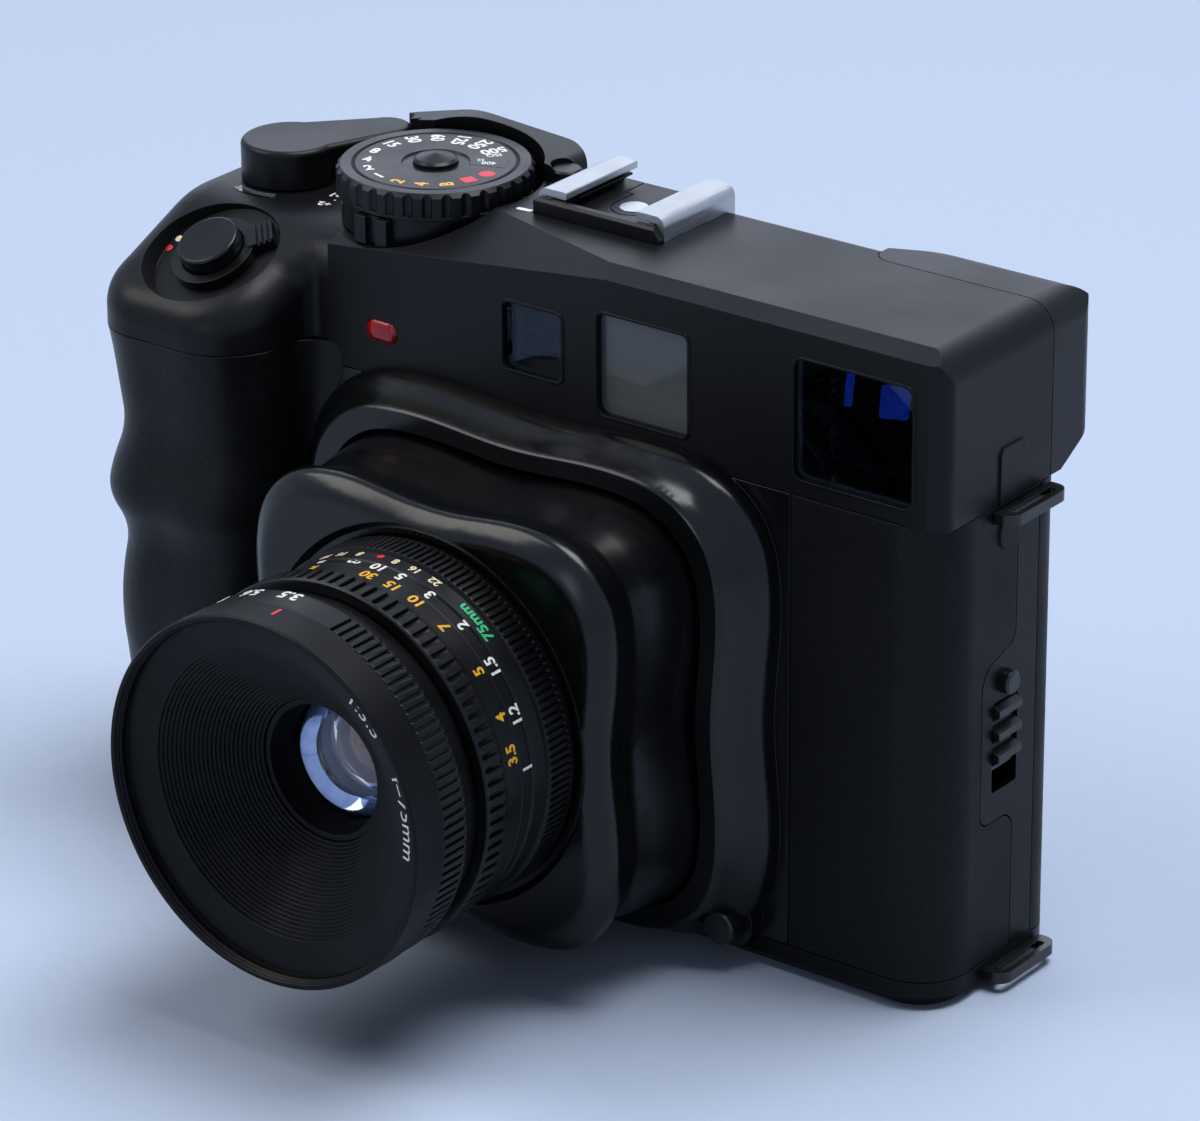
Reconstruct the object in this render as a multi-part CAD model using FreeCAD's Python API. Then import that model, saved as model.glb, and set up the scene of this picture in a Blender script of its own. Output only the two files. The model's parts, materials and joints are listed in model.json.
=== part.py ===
"""Medium format rangefinder camera with a collapsible lens mount.

Frame: millimetres, +Z up, the lens looks along -Y, the origin is the mouth of
the tripod socket in the base, under the lens axis.
"""
import FreeCAD, Part
import math
import os

from FreeCAD import Vector as V

# Body planes
BODY_FRONT_Y = -17.0
BODY_REAR_Y = 17.0
BODY_RIGHT_X = 75.2
BODY_CORNER_R = 9.0
DOOR_CORNER_R = 6.6
COVER_WALL = 1.8
SEAM_GAP = 0.2
BASE_HEIGHT = 4.8
LOWER_SEAM_Z = 81.5
GRIP_SEAM_STEP = 3.7
GRIP_SEAM_Z = LOWER_SEAM_Z + GRIP_SEAM_STEP
DECK_RISE = 21.3
DECK_Z = LOWER_SEAM_Z + DECK_RISE
TOP_RISE = 6.8
TOP_FLAT_Z = DECK_Z + TOP_RISE
BEYOND = 200.0
SHOULDER_BREAK_Y = -10.5
SHOULDER_R = 6.2

# Chassis casting
CAST_LEFT_X = -69.0
CAST_RIGHT_X = 72.4
CAST_REAR_Y = 12.0
CAST_TOP_Z = LOWER_SEAM_Z - 1.1
AXIS_Z = 43.0
GATE_HALF = 28.0
GATE_FRAME = 1.6
TUNNEL_HALF = 31.5
CHAMBER_X = 52.5
CHAMBER_Y = -1.0
CHAMBER_R = 13.4
CHAMBER_BOTTOM_Z = 9.0
CHAMBER_TOP_Z = 76.5
SPOOL_PIN_R = 2.0
SPINDLE_R = 2.4
CAVITY_DEPTH_Y = -1.5
ROLLER_X = 35.2
CAST_JOINT_X = ROLLER_X + 2.8
ROLLER_R = 1.6

# Grip
GRIP_LEFT_X = -80.0
GRIP_FRONT_Y = -34.8
GRIP_NOSE_X = -48.7
GRIP_ROOT_X = -46.9
GRIP_EDGE_TOP_X = -40.7
GRIP_EDGE_LOW_X = -46.6
GRIP_STEP_Z = 66.5
GRIP_REAR_R = 9.0
GRIP_FRONT_R = 10.0
GRIP_NOSE_R = 12.0
GRIP_ROOT_R = 2.5
GRIP_STATIONS = (
    (5.0, -1.1),
    (28.0, -0.8),
    (44.0, -0.9),
    (51.5, -0.9),
    (57.0, 0.5),
    (61.0, 0.0),
    (65.5, -1.1),
    (73.0, -1.2),
    (79.0, -0.7),
    (GRIP_SEAM_Z, 0.0),
)

GRIP_SKIN_SWELL = -0.5
GRIP_POINTS = 26
LOFT_DEGREE = 2

# Square frame on the front and the sliding collar
FRAME_PLATE_RIGHT_X = 47.3
FRAME_HALF_W = 44.6
FRAME_HALF_H = 40.2
FRAME_DEPTH = 9.0
TUNNEL_CORNER_R = 7.0
FRAME_WAIST = 0.04
FRAME_LIP = 2.9
COLLAR_HALF_W = 34.1
COLLAR_HALF_H = 34.2
COLLAR_WAIST = 0.055
COLLAR_REAR_HALF_W = 34.9
COLLAR_REAR_HALF_H = 33.2
COLLAR_RIDGE_Y = -45.7
COLLAR_REAR_Y = -24.0
COLLAR_GAP = 1.1
COLLAR_TRAVEL = 17.0
COLLAR_LIP = 4.4
BELLOWS_INSET = 7.6
BELLOWS_FRONT_HALF = COLLAR_REAR_HALF_H - BELLOWS_INSET
BELLOWS_FRONT_R = 8.0
BELLOWS_REAR_HALF = TUNNEL_HALF - 0.7
BELLOWS_REAR_R = 2.0
BELLOWS_SKIN = 0.8

# Lens rings, stations along Y
LENS_FRONT_Y = -86.8
FRONT_RING_REAR_Y = -80.4
APERTURE_REAR_Y = -74.2
GAP_RING_REAR_Y = -70.0
FOCUS_GRIP_REAR_Y = -64.8
FOCUS_REAR_Y = -57.4
DEPTH_REAR_Y = -53.8
MOUNT_RING_REAR_Y = -47.8
RING_GAP = 0.3
FRONT_RING_R = 30.1
FILTER_THREAD_R = 29.0
FILTER_DEPTH = 3.6
APERTURE_R = 29.9
FOCUS_GRIP_R = 29.9
SCALE_R = 28.9
MOUNT_RING_R = 29.5
HELICOID_R = 25.2
FOCUS_TRAVEL = 5.0
CELL_R = 11.5
GLASS_R = 10.0
GLASS_Y = -67.0
CONE_STEPS = 8
CONE_WALL = 1.3
SHUTTER_R = 21.0

# Shutter dial
DIAL_X = -34.9
DIAL_Y = 0.7
DIAL_R = 15.9
DIAL_RISE = 9.5
DIAL_TOP_Z = DECK_Z + DIAL_RISE
DIAL_HEIGHT = 4.4
DIAL_NOTCHES = 32
DIAL_FACE_R = 13.2
DIAL_POCKET_R = 17.4
TAB_REACH = 16.7
CAP_R = 3.6
STEM_R = 3.0

# Advance lever
LEVER_X = -66.0
LEVER_Y = 1.5
LEVER_R = 8.0
LEVER_TIP_X = -57.2
LEVER_TIP_Y = 15.4
LEVER_TIP_R = 4.2
LEVER_RISE = 6.8
LEVER_TOP_Z = DECK_Z + LEVER_RISE
LEVER_LIFT = 0.4
COUNTER_R = 10.6

# Release button on its tilted seat
RELEASE_X = -62.8
RELEASE_Y = -20.9
RELEASE_DROP = 6.7
RELEASE_Z = DECK_Z - RELEASE_DROP
RELEASE_R = 5.2
RELEASE_RING_R = 7.2
RELEASE_SEAT_R = 10.9
RELEASE_TAB_REACH = 10.3
RELEASE_TAB_HALF = 2.4
RELEASE_TAB_TURN = 40.0
RELEASE_TILT_X = -0.07
RELEASE_TILT_Y = -0.55

# Windows in the front of the top cover: left, right, bottom, top
FINDER_WINDOW = (48.0, 69.6, TOP_FLAT_Z - 25.2, TOP_FLAT_Z - 5.7)
LIGHT_WINDOW = (10.8, 28.1, TOP_FLAT_Z - 23.7, TOP_FLAT_Z - 7.0)
RANGE_WINDOW = (-7.6, 3.8, TOP_FLAT_Z - 20.4, TOP_FLAT_Z - 9.2)
LAMP_WINDOW = (-35.2, -29.0, TOP_FLAT_Z - 22.0, TOP_FLAT_Z - 18.4)
WINDOW_R = 1.6
WINDOW_RECESS = 1.0
ROOF_EDGE_R = 4.6
FINDER_CORNER_R = 3.0
LUG_PAD_TOP_Z = LOWER_SEAM_Z + 9.1
LUG_PAD = 0.35

# Accessory shoe
SHOE_LEFT_X = -12.4
SHOE_RIGHT_X = 12.2
SHOE_FRONT_Y = -3.0
SHOE_REAR_Y = 16.9
SHOE_SLOT_HALF = 9.4
SHOE_LIP = 2.6
SHOE_FLOOR_Z = TOP_FLAT_Z + 0.6
SHOE_RAIL_TOP_Z = TOP_FLAT_Z + 4.0
SHOE_SHEET = 1.3
SHOE_BEND_R = 1.7
SHOE_STOP_DEPTH = 1.4
SHOE_STOP_HEIGHT = 1.9
SHOE_SINK = 0.8
CONTACT_R = 2.3
CONTACT_DEPTH = 0.9
INSERT_R = 3.7
INSERT_GROOVE = 0.3

# Viewfinder rear cover
FINDER_END_X = 41.4
FINDER_SEAM_Y = 12.2
FINDER_REAR_Y = 24.0
FINDER_BEVEL_Y = 15.0
FINDER_BEVEL_Z = LOWER_SEAM_Z + 5.5
EYEPIECE_X = 58.8
EYEPIECE_Z = TOP_FLAT_Z - 15.1
EYEPIECE_R = 7.6

# Back door, hinge and latch
HINGE_X = -71.6
HINGE_Y = 15.2
HINGE_R = 1.7
PIN_R = 0.8
DOOR_WALL = 1.8
DOOR_RIM = 1.6
DOOR_EDGE_Y = 9.4
LATCH_EDGE_Y = 3.6
LATCH_WIDE_Y = -5.3
LATCH_WIDE_BOTTOM_Z = 28.6
LATCH_WIDE_TOP_Z = 57.6
LATCH_SLOT_BOTTOM_Z = 33.4
LATCH_SLOT_TOP_Z = 48.6
LATCH_SLOT_Y = 1.0
LATCH_SLOT_HALF = 3.4
LATCH_TRAVEL = 3.2
LOCK_Z = 51.4
LOCK_R = 1.9

# Strap lugs
LUG_REACH = 3.8
LUG_REACH_X = BODY_RIGHT_X + LUG_REACH
LUG_FRONT_Y = -3.5
LUG_REAR_Y = 11.8
LUG_ROOT_Y = 9.0
LUG_UPPER_Z = LOWER_SEAM_Z - 1.5
LUG_LOWER_Z = BASE_HEIGHT - 2.2
LUG_THICK = 1.8

# Base
TRIPOD_THREAD_R = 3.175
TRIPOD_BUSH_R = 6.0
TRIPOD_DEPTH = 6.0
TRIPOD_BUSH_END = 0.8
KNOB_X = 36.0
KNOB_Y = 0.0
KNOB_R = 7.5
BATTERY_X = -66.0
BATTERY_Y = -22.5
BATTERY_R = 5.8
BATTERY_COUNT = 2
BATTERY_THICK = 5.4
BATTERY_BOTTOM_Z = 3.8

# Buttons
COLLAPSE_X = FRAME_HALF_W - 6.2
COLLAPSE_Z = AXIS_Z - FRAME_HALF_H + 4.8
COLLAPSE_R = 2.9
COLLAPSE_COLLAR_R = 4.3
COLLAPSE_COLLAR_DEPTH = 3.0
COLLAPSE_TRAVEL = 2.0
CHECK_X = -17.0
CHECK_Y = 11.6
CHECK_R = 2.5
RUNNING_GAP = 0.3
SHAFT_GAP = 0.08

NODES = {}


def node(name, shape):
    """Keep one named sub-part."""
    NODES[name] = shape


def box(x0, x1, y0, y1, z0, z1):
    """A box from its six faces."""
    return Part.makeBox(x1 - x0, y1 - y0, z1 - z0, V(x0, y0, z0))


def rod(radius, start, end):
    """A round bar from one point to another."""
    direction = end.sub(start)
    return Part.makeCylinder(radius, direction.Length, start, direction)


def upright(radius, x, y, z0, z1):
    """A round bar along Z."""
    return Part.makeCylinder(radius, z1 - z0, V(x, y, z0))


def corner_wire(points, radii, place):
    """A closed outline of straight runs with a tangent arc at each rounded corner."""
    edges = []
    count = len(points)
    ends = []
    for i in range(count):
        before = points[i - 1]
        here = points[i]
        after = points[(i + 1) % count]
        a = V(before[0] - here[0], before[1] - here[1], 0)
        b = V(after[0] - here[0], after[1] - here[1], 0)
        a.normalize()
        b.normalize()
        centre = V(here[0], here[1], 0)
        if radii[i] == 0:
            ends.append((centre, centre, centre))
            continue
        half = a.getAngle(b) / 2
        reach = radii[i] / math.tan(half)
        middle = (a + b).normalize()
        tip = centre + middle * (radii[i] / math.sin(half) - radii[i])
        ends.append((centre + a * reach, tip, centre + b * reach))
    for i in range(count):
        start, tip, end = ends[i]
        if radii[i] > 0:
            edges.append(Part.Arc(place(start), place(tip), place(end)).toShape())
        following = ends[(i + 1) % count][0]
        if end.distanceToPoint(following) > 1e-6:
            edges.append(Part.makeLine(place(end), place(following)))
    return Part.Wire(edges)


def plan_wire(points, radii, z):
    """An outline seen from above, at one height."""
    return corner_wire(points, radii, lambda p: V(p.x, p.y, z))


def front_wire(points, radii, y):
    """An outline seen from the front, its points as X and Z."""
    return corner_wire(points, radii, lambda p: V(p.x, y, p.y))


def side_wire(points, radii, x):
    """An outline seen from the side, its points as Y and Z."""
    return corner_wire(points, radii, lambda p: V(x, p.x, p.y))


def prism(wire, along):
    """A closed outline pushed along a vector."""
    return Part.Face(wire).extrude(along)


def rectangle(x0, x1, z0, z1):
    """Corner points of a rectangle."""
    return ((x0, z0), (x1, z0), (x1, z1), (x0, z1))


def front_plate(x0, x1, z0, z1, radius, y0, y1):
    """A rounded rectangular block seen from the front."""
    return prism(front_wire(rectangle(x0, x1, z0, z1), (radius,) * 4, y0), V(0, y1 - y0, 0))


def turned(profile, axis_z=AXIS_Z):
    """A ring turned about the lens axis, its profile as pairs of Y and radius."""
    points = [V(0, y, axis_z + radius) for y, radius in profile]
    points.append(points[0])
    face = Part.Face(Part.makePolygon(points))
    return face.revolve(V(0, 0, axis_z), V(0, 1, 0), 360)


def turned_upright(profile, x, y):
    """A ring turned about a vertical axis, its profile as pairs of radius and Z."""
    points = [V(x + radius, y, z) for radius, z in profile]
    points.append(points[0])
    face = Part.Face(Part.makePolygon(points))
    return face.revolve(V(x, y, 0), V(0, 0, 1), 360)


def around_lens(tool, count, first=0.0, sweep=360.0):
    """Copies of a cutter spaced round the lens axis, as a list."""
    copies = []
    for i in range(count):
        copy = tool.copy()
        copy.rotate(V(0, 0, AXIS_Z), V(0, 1, 0), first + sweep * i / count)
        copies.append(copy)
    return copies


def around_upright(tool, x, y, count, first=0.0):
    """Copies of a cutter spaced round a vertical axis, as a list."""
    copies = []
    for i in range(count):
        copy = tool.copy()
        copy.rotate(V(x, y, 0), V(0, 0, 1), first + 360.0 * i / count)
        copies.append(copy)
    return copies


def grip_section(z, swell, inset, end_x):
    """The grip and the body behind it, seen from above at one height."""
    left = GRIP_LEFT_X + inset - swell
    front = GRIP_FRONT_Y + inset - swell
    points = (
        (end_x, BODY_REAR_Y - inset),
        (left, BODY_REAR_Y - inset),
        (left, front),
        (GRIP_NOSE_X - inset, front),
        (GRIP_ROOT_X - inset, BODY_FRONT_Y + inset),
        (end_x, BODY_FRONT_Y + inset),
    )
    radii = (
        0,
        GRIP_REAR_R - inset,
        GRIP_FRONT_R - inset,
        GRIP_NOSE_R - inset,
        GRIP_ROOT_R + inset,
        0,
    )
    return plan_wire(points, radii, z)


def grip_rib(z, swell, end_x):
    """One grip section as a single smooth curve closed by a straight edge."""
    outline = grip_section(z, swell, 0.0, end_x)
    path = [e for e in outline.OrderedEdges if e.CenterOfMass.x < end_x - 0.001]
    points = Part.Wire(Part.__sortEdges__(path)).discretize(GRIP_POINTS)
    if points[0].y < points[-1].y:
        points.reverse()
    curve = Part.BSplineCurve()
    curve.interpolate(points)
    return Part.Wire([curve.toShape(), Part.makeLine(points[-1], points[0])])


def grip_form(end_x):
    """The solid form of the grip with its finger swells."""
    wires = [grip_rib(z, swell, end_x) for z, swell in GRIP_STATIONS]
    return Part.makeLoft(wires, True, False, False, LOFT_DEGREE)


def pillow_wire(half_w, half_h, y, waist, power=4.7, count=32):
    """A square with round corners and slightly hollow sides, about the lens axis."""
    points = []
    for i in range(count):
        turn = 2 * math.pi * (i + 0.5) / count
        c = math.cos(turn)
        s = math.sin(turn)
        reach = (abs(c) ** power + abs(s) ** power) ** (-1 / power)
        reach *= 1 + waist * (1 - math.cos(2 * turn) ** 4)
        points.append(V(half_w * reach * c, y, AXIS_Z + half_h * reach * s))
    curve = Part.BSplineCurve()
    curve.interpolate(points, PeriodicFlag=True)
    return Part.Wire(curve.toShape())


def pillow_loft(stations, waist):
    """A solid through pillow outlines given as Y, half width and half height."""
    wires = [pillow_wire(w, h, y, waist) for y, w, h in stations]
    return Part.makeLoft(wires, True, False, False, LOFT_DEGREE)


def body_outline(z, inset):
    """The lower body seen from above, with the grip at the left."""
    _, swell = GRIP_STATIONS[0]
    left = GRIP_LEFT_X + inset - swell
    front = GRIP_FRONT_Y + inset - swell
    right = BODY_RIGHT_X - inset
    points = (
        (right, BODY_REAR_Y - inset),
        (left, BODY_REAR_Y - inset),
        (left, front),
        (GRIP_NOSE_X - inset, front),
        (GRIP_ROOT_X - inset, BODY_FRONT_Y + inset),
        (right, BODY_FRONT_Y + inset),
    )
    radii = (
        DOOR_CORNER_R - inset,
        GRIP_REAR_R - inset,
        GRIP_FRONT_R - inset,
        GRIP_NOSE_R - inset,
        GRIP_ROOT_R + inset,
        BODY_CORNER_R - inset,
    )
    return plan_wire(points, radii, z)


def make_casting():
    """Die-cast chassis with the light tunnel, and the two spool chambers bolted to its ends."""
    front = BODY_FRONT_Y + COVER_WALL
    body = prism(
        plan_wire(
            ((CAST_RIGHT_X, CAST_REAR_Y), (CAST_LEFT_X, CAST_REAR_Y), (CAST_LEFT_X, front), (CAST_RIGHT_X, front)),
            (1.0, 1.0, 4.0, BODY_CORNER_R - COVER_WALL),
            BASE_HEIGHT + SEAM_GAP,
        ),
        V(0, 0, CAST_TOP_Z - BASE_HEIGHT - SEAM_GAP),
    )
    cavity_w = COLLAR_REAR_HALF_W + COLLAR_GAP + 0.6
    cavity_h = COLLAR_REAR_HALF_H + COLLAR_GAP + 0.6
    cuts = [
        front_plate(
            -cavity_w, cavity_w, AXIS_Z - cavity_h, AXIS_Z + cavity_h, TUNNEL_CORNER_R, front - 1, CAVITY_DEPTH_Y
        ),
        box(
            -TUNNEL_HALF,
            TUNNEL_HALF,
            CAVITY_DEPTH_Y - 1,
            CAST_REAR_Y - GATE_FRAME,
            AXIS_Z - TUNNEL_HALF,
            AXIS_Z + TUNNEL_HALF,
        ),
        box(
            -GATE_HALF,
            GATE_HALF,
            CAST_REAR_Y - 2,
            CAST_REAR_Y + 1,
            AXIS_Z - GATE_HALF,
            AXIS_Z + GATE_HALF,
        ),
    ]
    for side in (-1, 1):
        centre = side * CHAMBER_X
        cuts.append(upright(CHAMBER_R, centre, CHAMBER_Y, CHAMBER_BOTTOM_Z, CHAMBER_TOP_Z))
        cuts.append(
            box(
                centre - CHAMBER_R,
                centre + CHAMBER_R,
                CHAMBER_Y,
                CAST_REAR_Y + 1,
                CHAMBER_BOTTOM_Z,
                CHAMBER_TOP_Z,
            )
        )
        cuts.append(
            upright(
                ROLLER_R + RUNNING_GAP,
                side * ROLLER_X,
                CAST_REAR_Y - ROLLER_R,
                CHAMBER_BOTTOM_Z + 4,
                CHAMBER_TOP_Z - 4,
            )
        )
    body = body.cut(Part.makeCompound(cuts))
    for side in (-1, 1):
        body = body.fuse(
            upright(SPOOL_PIN_R, side * CHAMBER_X, CHAMBER_Y, CHAMBER_BOTTOM_Z - 0.5, CHAMBER_BOTTOM_Z + 4)
        )
    # Battery tube beside the take-up chamber, open below
    tube_top = BATTERY_BOTTOM_Z + BATTERY_COUNT * (BATTERY_THICK + 0.1)
    tube_low = BASE_HEIGHT + SEAM_GAP
    tube = upright(BATTERY_R + 1.4, BATTERY_X, BATTERY_Y, tube_low, tube_top + 1.6)
    web = box(BATTERY_X - 3, BATTERY_X + 3, BATTERY_Y, front + 1, tube_low, tube_top + 1.6)
    body = body.fuse([tube, web]).removeSplitter()
    body = body.cut(upright(BATTERY_R + 0.1, BATTERY_X, BATTERY_Y, 0, tube_top + 0.1))
    body = body.cut(upright(SPINDLE_R + SHAFT_GAP, -CHAMBER_X, CHAMBER_Y, CHAMBER_TOP_Z - 1, CAST_TOP_Z + 1))
    # Seat of the tripod bush and the well behind the collapse button
    body = body.cut(upright(TRIPOD_BUSH_R, 0, 0, 0, TRIPOD_DEPTH + TRIPOD_BUSH_END))
    well_end = BODY_FRONT_Y + COVER_WALL + COLLAPSE_TRAVEL + 1.0
    body = body.cut(rod(COLLAPSE_R + SHAFT_GAP, V(COLLAPSE_X, BODY_FRONT_Y, COLLAPSE_Z), V(COLLAPSE_X, well_end, COLLAPSE_Z)))
    # Latch well behind the latch plate
    body = body.cut(
        box(
            CAST_RIGHT_X - 4.0,
            CAST_RIGHT_X + 1,
            LATCH_SLOT_Y - LATCH_SLOT_HALF - 1.0,
            LATCH_SLOT_Y + LATCH_SLOT_HALF + 1.0,
            LATCH_SLOT_BOTTOM_Z - 2.0,
            LOCK_Z + 4.0,
        )
    )
    # The chassis is bolted up from a floor, a ceiling and two side frames, with a chamber at each end
    joints = (CAST_LEFT_X - 1.0, -CAST_JOINT_X, -GATE_HALF, GATE_HALF, CAST_JOINT_X, CAST_RIGHT_X + 1.0)
    pieces = []
    for x0, x1 in zip(joints, joints[1:]):
        block = box(x0, x1, front - 1.0, CAST_REAR_Y + 1.0, BASE_HEIGHT - 1.0, CAST_TOP_Z + 1.0)
        pieces.append(body.common(block).Solids)
    node("body_casting", Part.makeCompound(pieces[1] + pieces[2] + pieces[3]))
    node("film_chambers", Part.makeCompound(pieces[0] + pieces[4]))


def make_rollers():
    """Two film rollers beside the gate."""
    for side, name in ((-1, "film_roller_left"), (1, "film_roller_right")):
        node(
            name,
            upright(
                ROLLER_R,
                side * ROLLER_X,
                CAST_REAR_Y - ROLLER_R,
                CHAMBER_BOTTOM_Z + 4 + RUNNING_GAP,
                CHAMBER_TOP_Z - 4 - RUNNING_GAP,
            ),
        )


def grip_edge_tool(offset):
    """Everything to the left of the grip skin's front edge, as seen from the front."""
    low = GRIP_EDGE_LOW_X + offset
    top = GRIP_EDGE_TOP_X + offset
    seam = GRIP_SEAM_Z + offset
    points = ((-95, 0), (low, 0), (low, GRIP_STEP_Z), (top, GRIP_STEP_Z + 13.5), (top, seam), (-95, seam))
    return prism(front_wire(points, (0, 0, 6, 5, 2.2, 0), -45), V(0, 45 + CAST_REAR_Y, 0))


def make_grip():
    """Grip skin with finger swells."""
    outer = grip_form(GRIP_EDGE_TOP_X + 3)
    inner = grip_section(0.0, GRIP_SKIN_SWELL, COVER_WALL, GRIP_EDGE_TOP_X + 4)
    shell = outer.cut(prism(inner, V(0, 0, GRIP_SEAM_Z + 10)))
    front = shell.common(grip_edge_tool(0.0))
    rear_x = HINGE_X - HINGE_R - RUNNING_GAP
    left_x = GRIP_LEFT_X + GRIP_REAR_R
    seam_y = BODY_REAR_Y - GRIP_REAR_R
    rear = shell.common(box(-BEYOND, rear_x, 0, BODY_REAR_Y + 1, 0, GRIP_SEAM_Z + 1))
    left = shell.common(box(-BEYOND, left_x, -BEYOND, seam_y, 0, GRIP_SEAM_Z + 1))
    front = front.common(box(-BEYOND, 0, -BEYOND, 0.5, 0, BEYOND))
    node("grip_cover", front.fuse([rear, left]).removeSplitter())


def frame_form(grow, y_back):
    """Raised square frame around the collar."""
    front = BODY_FRONT_Y
    lip = front - FRAME_DEPTH
    stations = []
    for y, share in (
        (y_back, 0.0),
        (front - 1.4, 0.02),
        (front - 3.4, 0.16),
        (front - 5.0, 0.46),
        (lip + 2.2, 0.70),
        (lip + 0.6, 0.84),
        (lip, 1.0),
    ):
        w = FRAME_HALF_W - (FRAME_HALF_W - COLLAR_REAR_HALF_W - COLLAR_GAP - FRAME_LIP) * share
        h = FRAME_HALF_H - (FRAME_HALF_H - COLLAR_REAR_HALF_H - COLLAR_GAP - FRAME_LIP) * share
        stations.append((y, w + grow, h + grow))
    return pillow_loft(stations, FRAME_WAIST)


def collar_opening(y0, y1):
    """The hole that the collar slides through."""
    w = COLLAR_REAR_HALF_W + COLLAR_GAP
    h = COLLAR_REAR_HALF_H + COLLAR_GAP
    return pillow_loft(((y0, w, h), (y1, w, h)), FRAME_WAIST)


def make_front_cover():
    """Front plate with the raised frame."""
    front = BODY_FRONT_Y
    back = front + COVER_WALL
    plate = box(GRIP_EDGE_LOW_X - 2, FRAME_PLATE_RIGHT_X, front, back, BASE_HEIGHT + SEAM_GAP, LOWER_SEAM_Z)
    plate = plate.cut(grip_edge_tool(SEAM_GAP))
    frame = frame_form(0.0, front + 0.5)
    frame = frame.cut(box(-BEYOND, BEYOND, front, front + 5, -BEYOND, BEYOND))
    guide = rod(
        COLLAPSE_COLLAR_R,
        V(COLLAPSE_X, front - COLLAPSE_COLLAR_DEPTH, COLLAPSE_Z),
        V(COLLAPSE_X, back, COLLAPSE_Z),
    )
    body = plate.fuse([frame, guide]).removeSplitter()
    body = body.cut(collar_opening(front - FRAME_DEPTH - 2, back + 1))
    body = body.cut(collapse_bore()).cut(grip_edge_tool(SEAM_GAP))
    node("front_cover", body)


def collapse_bore():
    """Bore for the release of the collapsing mount."""
    return rod(
        COLLAPSE_R + SHAFT_GAP,
        V(COLLAPSE_X, BODY_FRONT_Y - FRAME_DEPTH - 2, COLLAPSE_Z),
        V(COLLAPSE_X, BODY_FRONT_Y + COVER_WALL + 1, COLLAPSE_Z),
    )


def latch_outline(offset):
    """Stepped outline of the latch plate in the side, as Y and Z."""
    narrow = LATCH_EDGE_Y - offset
    wide = LATCH_WIDE_Y - offset
    low = LATCH_WIDE_BOTTOM_Z - offset
    top = LATCH_WIDE_TOP_Z + offset
    rear = DOOR_EDGE_Y - SEAM_GAP + 4 * offset
    bottom = BASE_HEIGHT + SEAM_GAP - 2 * offset
    roof = LUG_UPPER_Z - LUG_THICK / 2 - 0.1 + 2 * offset
    points = (
        (rear, bottom),
        (rear, roof),
        (narrow, roof),
        (narrow, top),
        (wide, top - 3.0),
        (wide, low),
        (narrow, low),
        (narrow, bottom),
    )
    return points, (0, 0, 0, 2.5, 4.5, 2.0, 3.0, 0)


def make_side_cover():
    """Right front and side skin, round its large corner, cut for the latch plate."""
    z0 = BASE_HEIGHT + SEAM_GAP
    outer = plan_wire(
        (
            (BODY_RIGHT_X, DOOR_EDGE_Y - SEAM_GAP),
            (FRAME_PLATE_RIGHT_X + SEAM_GAP, DOOR_EDGE_Y - SEAM_GAP),
            (FRAME_PLATE_RIGHT_X + SEAM_GAP, BODY_FRONT_Y),
            (BODY_RIGHT_X, BODY_FRONT_Y),
        ),
        (0, 0, 0, BODY_CORNER_R),
        z0,
    )
    inner = plan_wire(
        (
            (BODY_RIGHT_X - COVER_WALL, DOOR_EDGE_Y + 1),
            (FRAME_PLATE_RIGHT_X - 1, DOOR_EDGE_Y + 1),
            (FRAME_PLATE_RIGHT_X - 1, BODY_FRONT_Y + COVER_WALL),
            (BODY_RIGHT_X - COVER_WALL, BODY_FRONT_Y + COVER_WALL),
        ),
        (0, 0, 0, BODY_CORNER_R - COVER_WALL),
        z0 - 1,
    )
    shell = prism(outer, V(0, 0, LOWER_SEAM_Z - z0)).cut(prism(inner, V(0, 0, 100)))
    boss = rod(3.0, V(BODY_RIGHT_X - COVER_WALL / 2, 1.2, 76.4), V(BODY_RIGHT_X + LUG_PAD, 1.2, 76.4))
    shell = shell.fuse(boss).removeSplitter()
    points, radii = latch_outline(SEAM_GAP)
    shell = shell.cut(prism(side_wire(points, radii, CAST_RIGHT_X - 2), V(12, 0, 0)))
    shell = shell.cut(lug_slot(LUG_UPPER_Z))
    node("side_cover", shell)


def lug_slot(z):
    """Room for a strap lug's root."""
    return box(
        CAST_RIGHT_X - 3,
        LUG_REACH_X + 1,
        LUG_FRONT_Y - SEAM_GAP,
        LUG_ROOT_Y + SEAM_GAP,
        z - LUG_THICK / 2 - 0.1,
        z + LUG_THICK / 2 + 0.1,
    )


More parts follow.
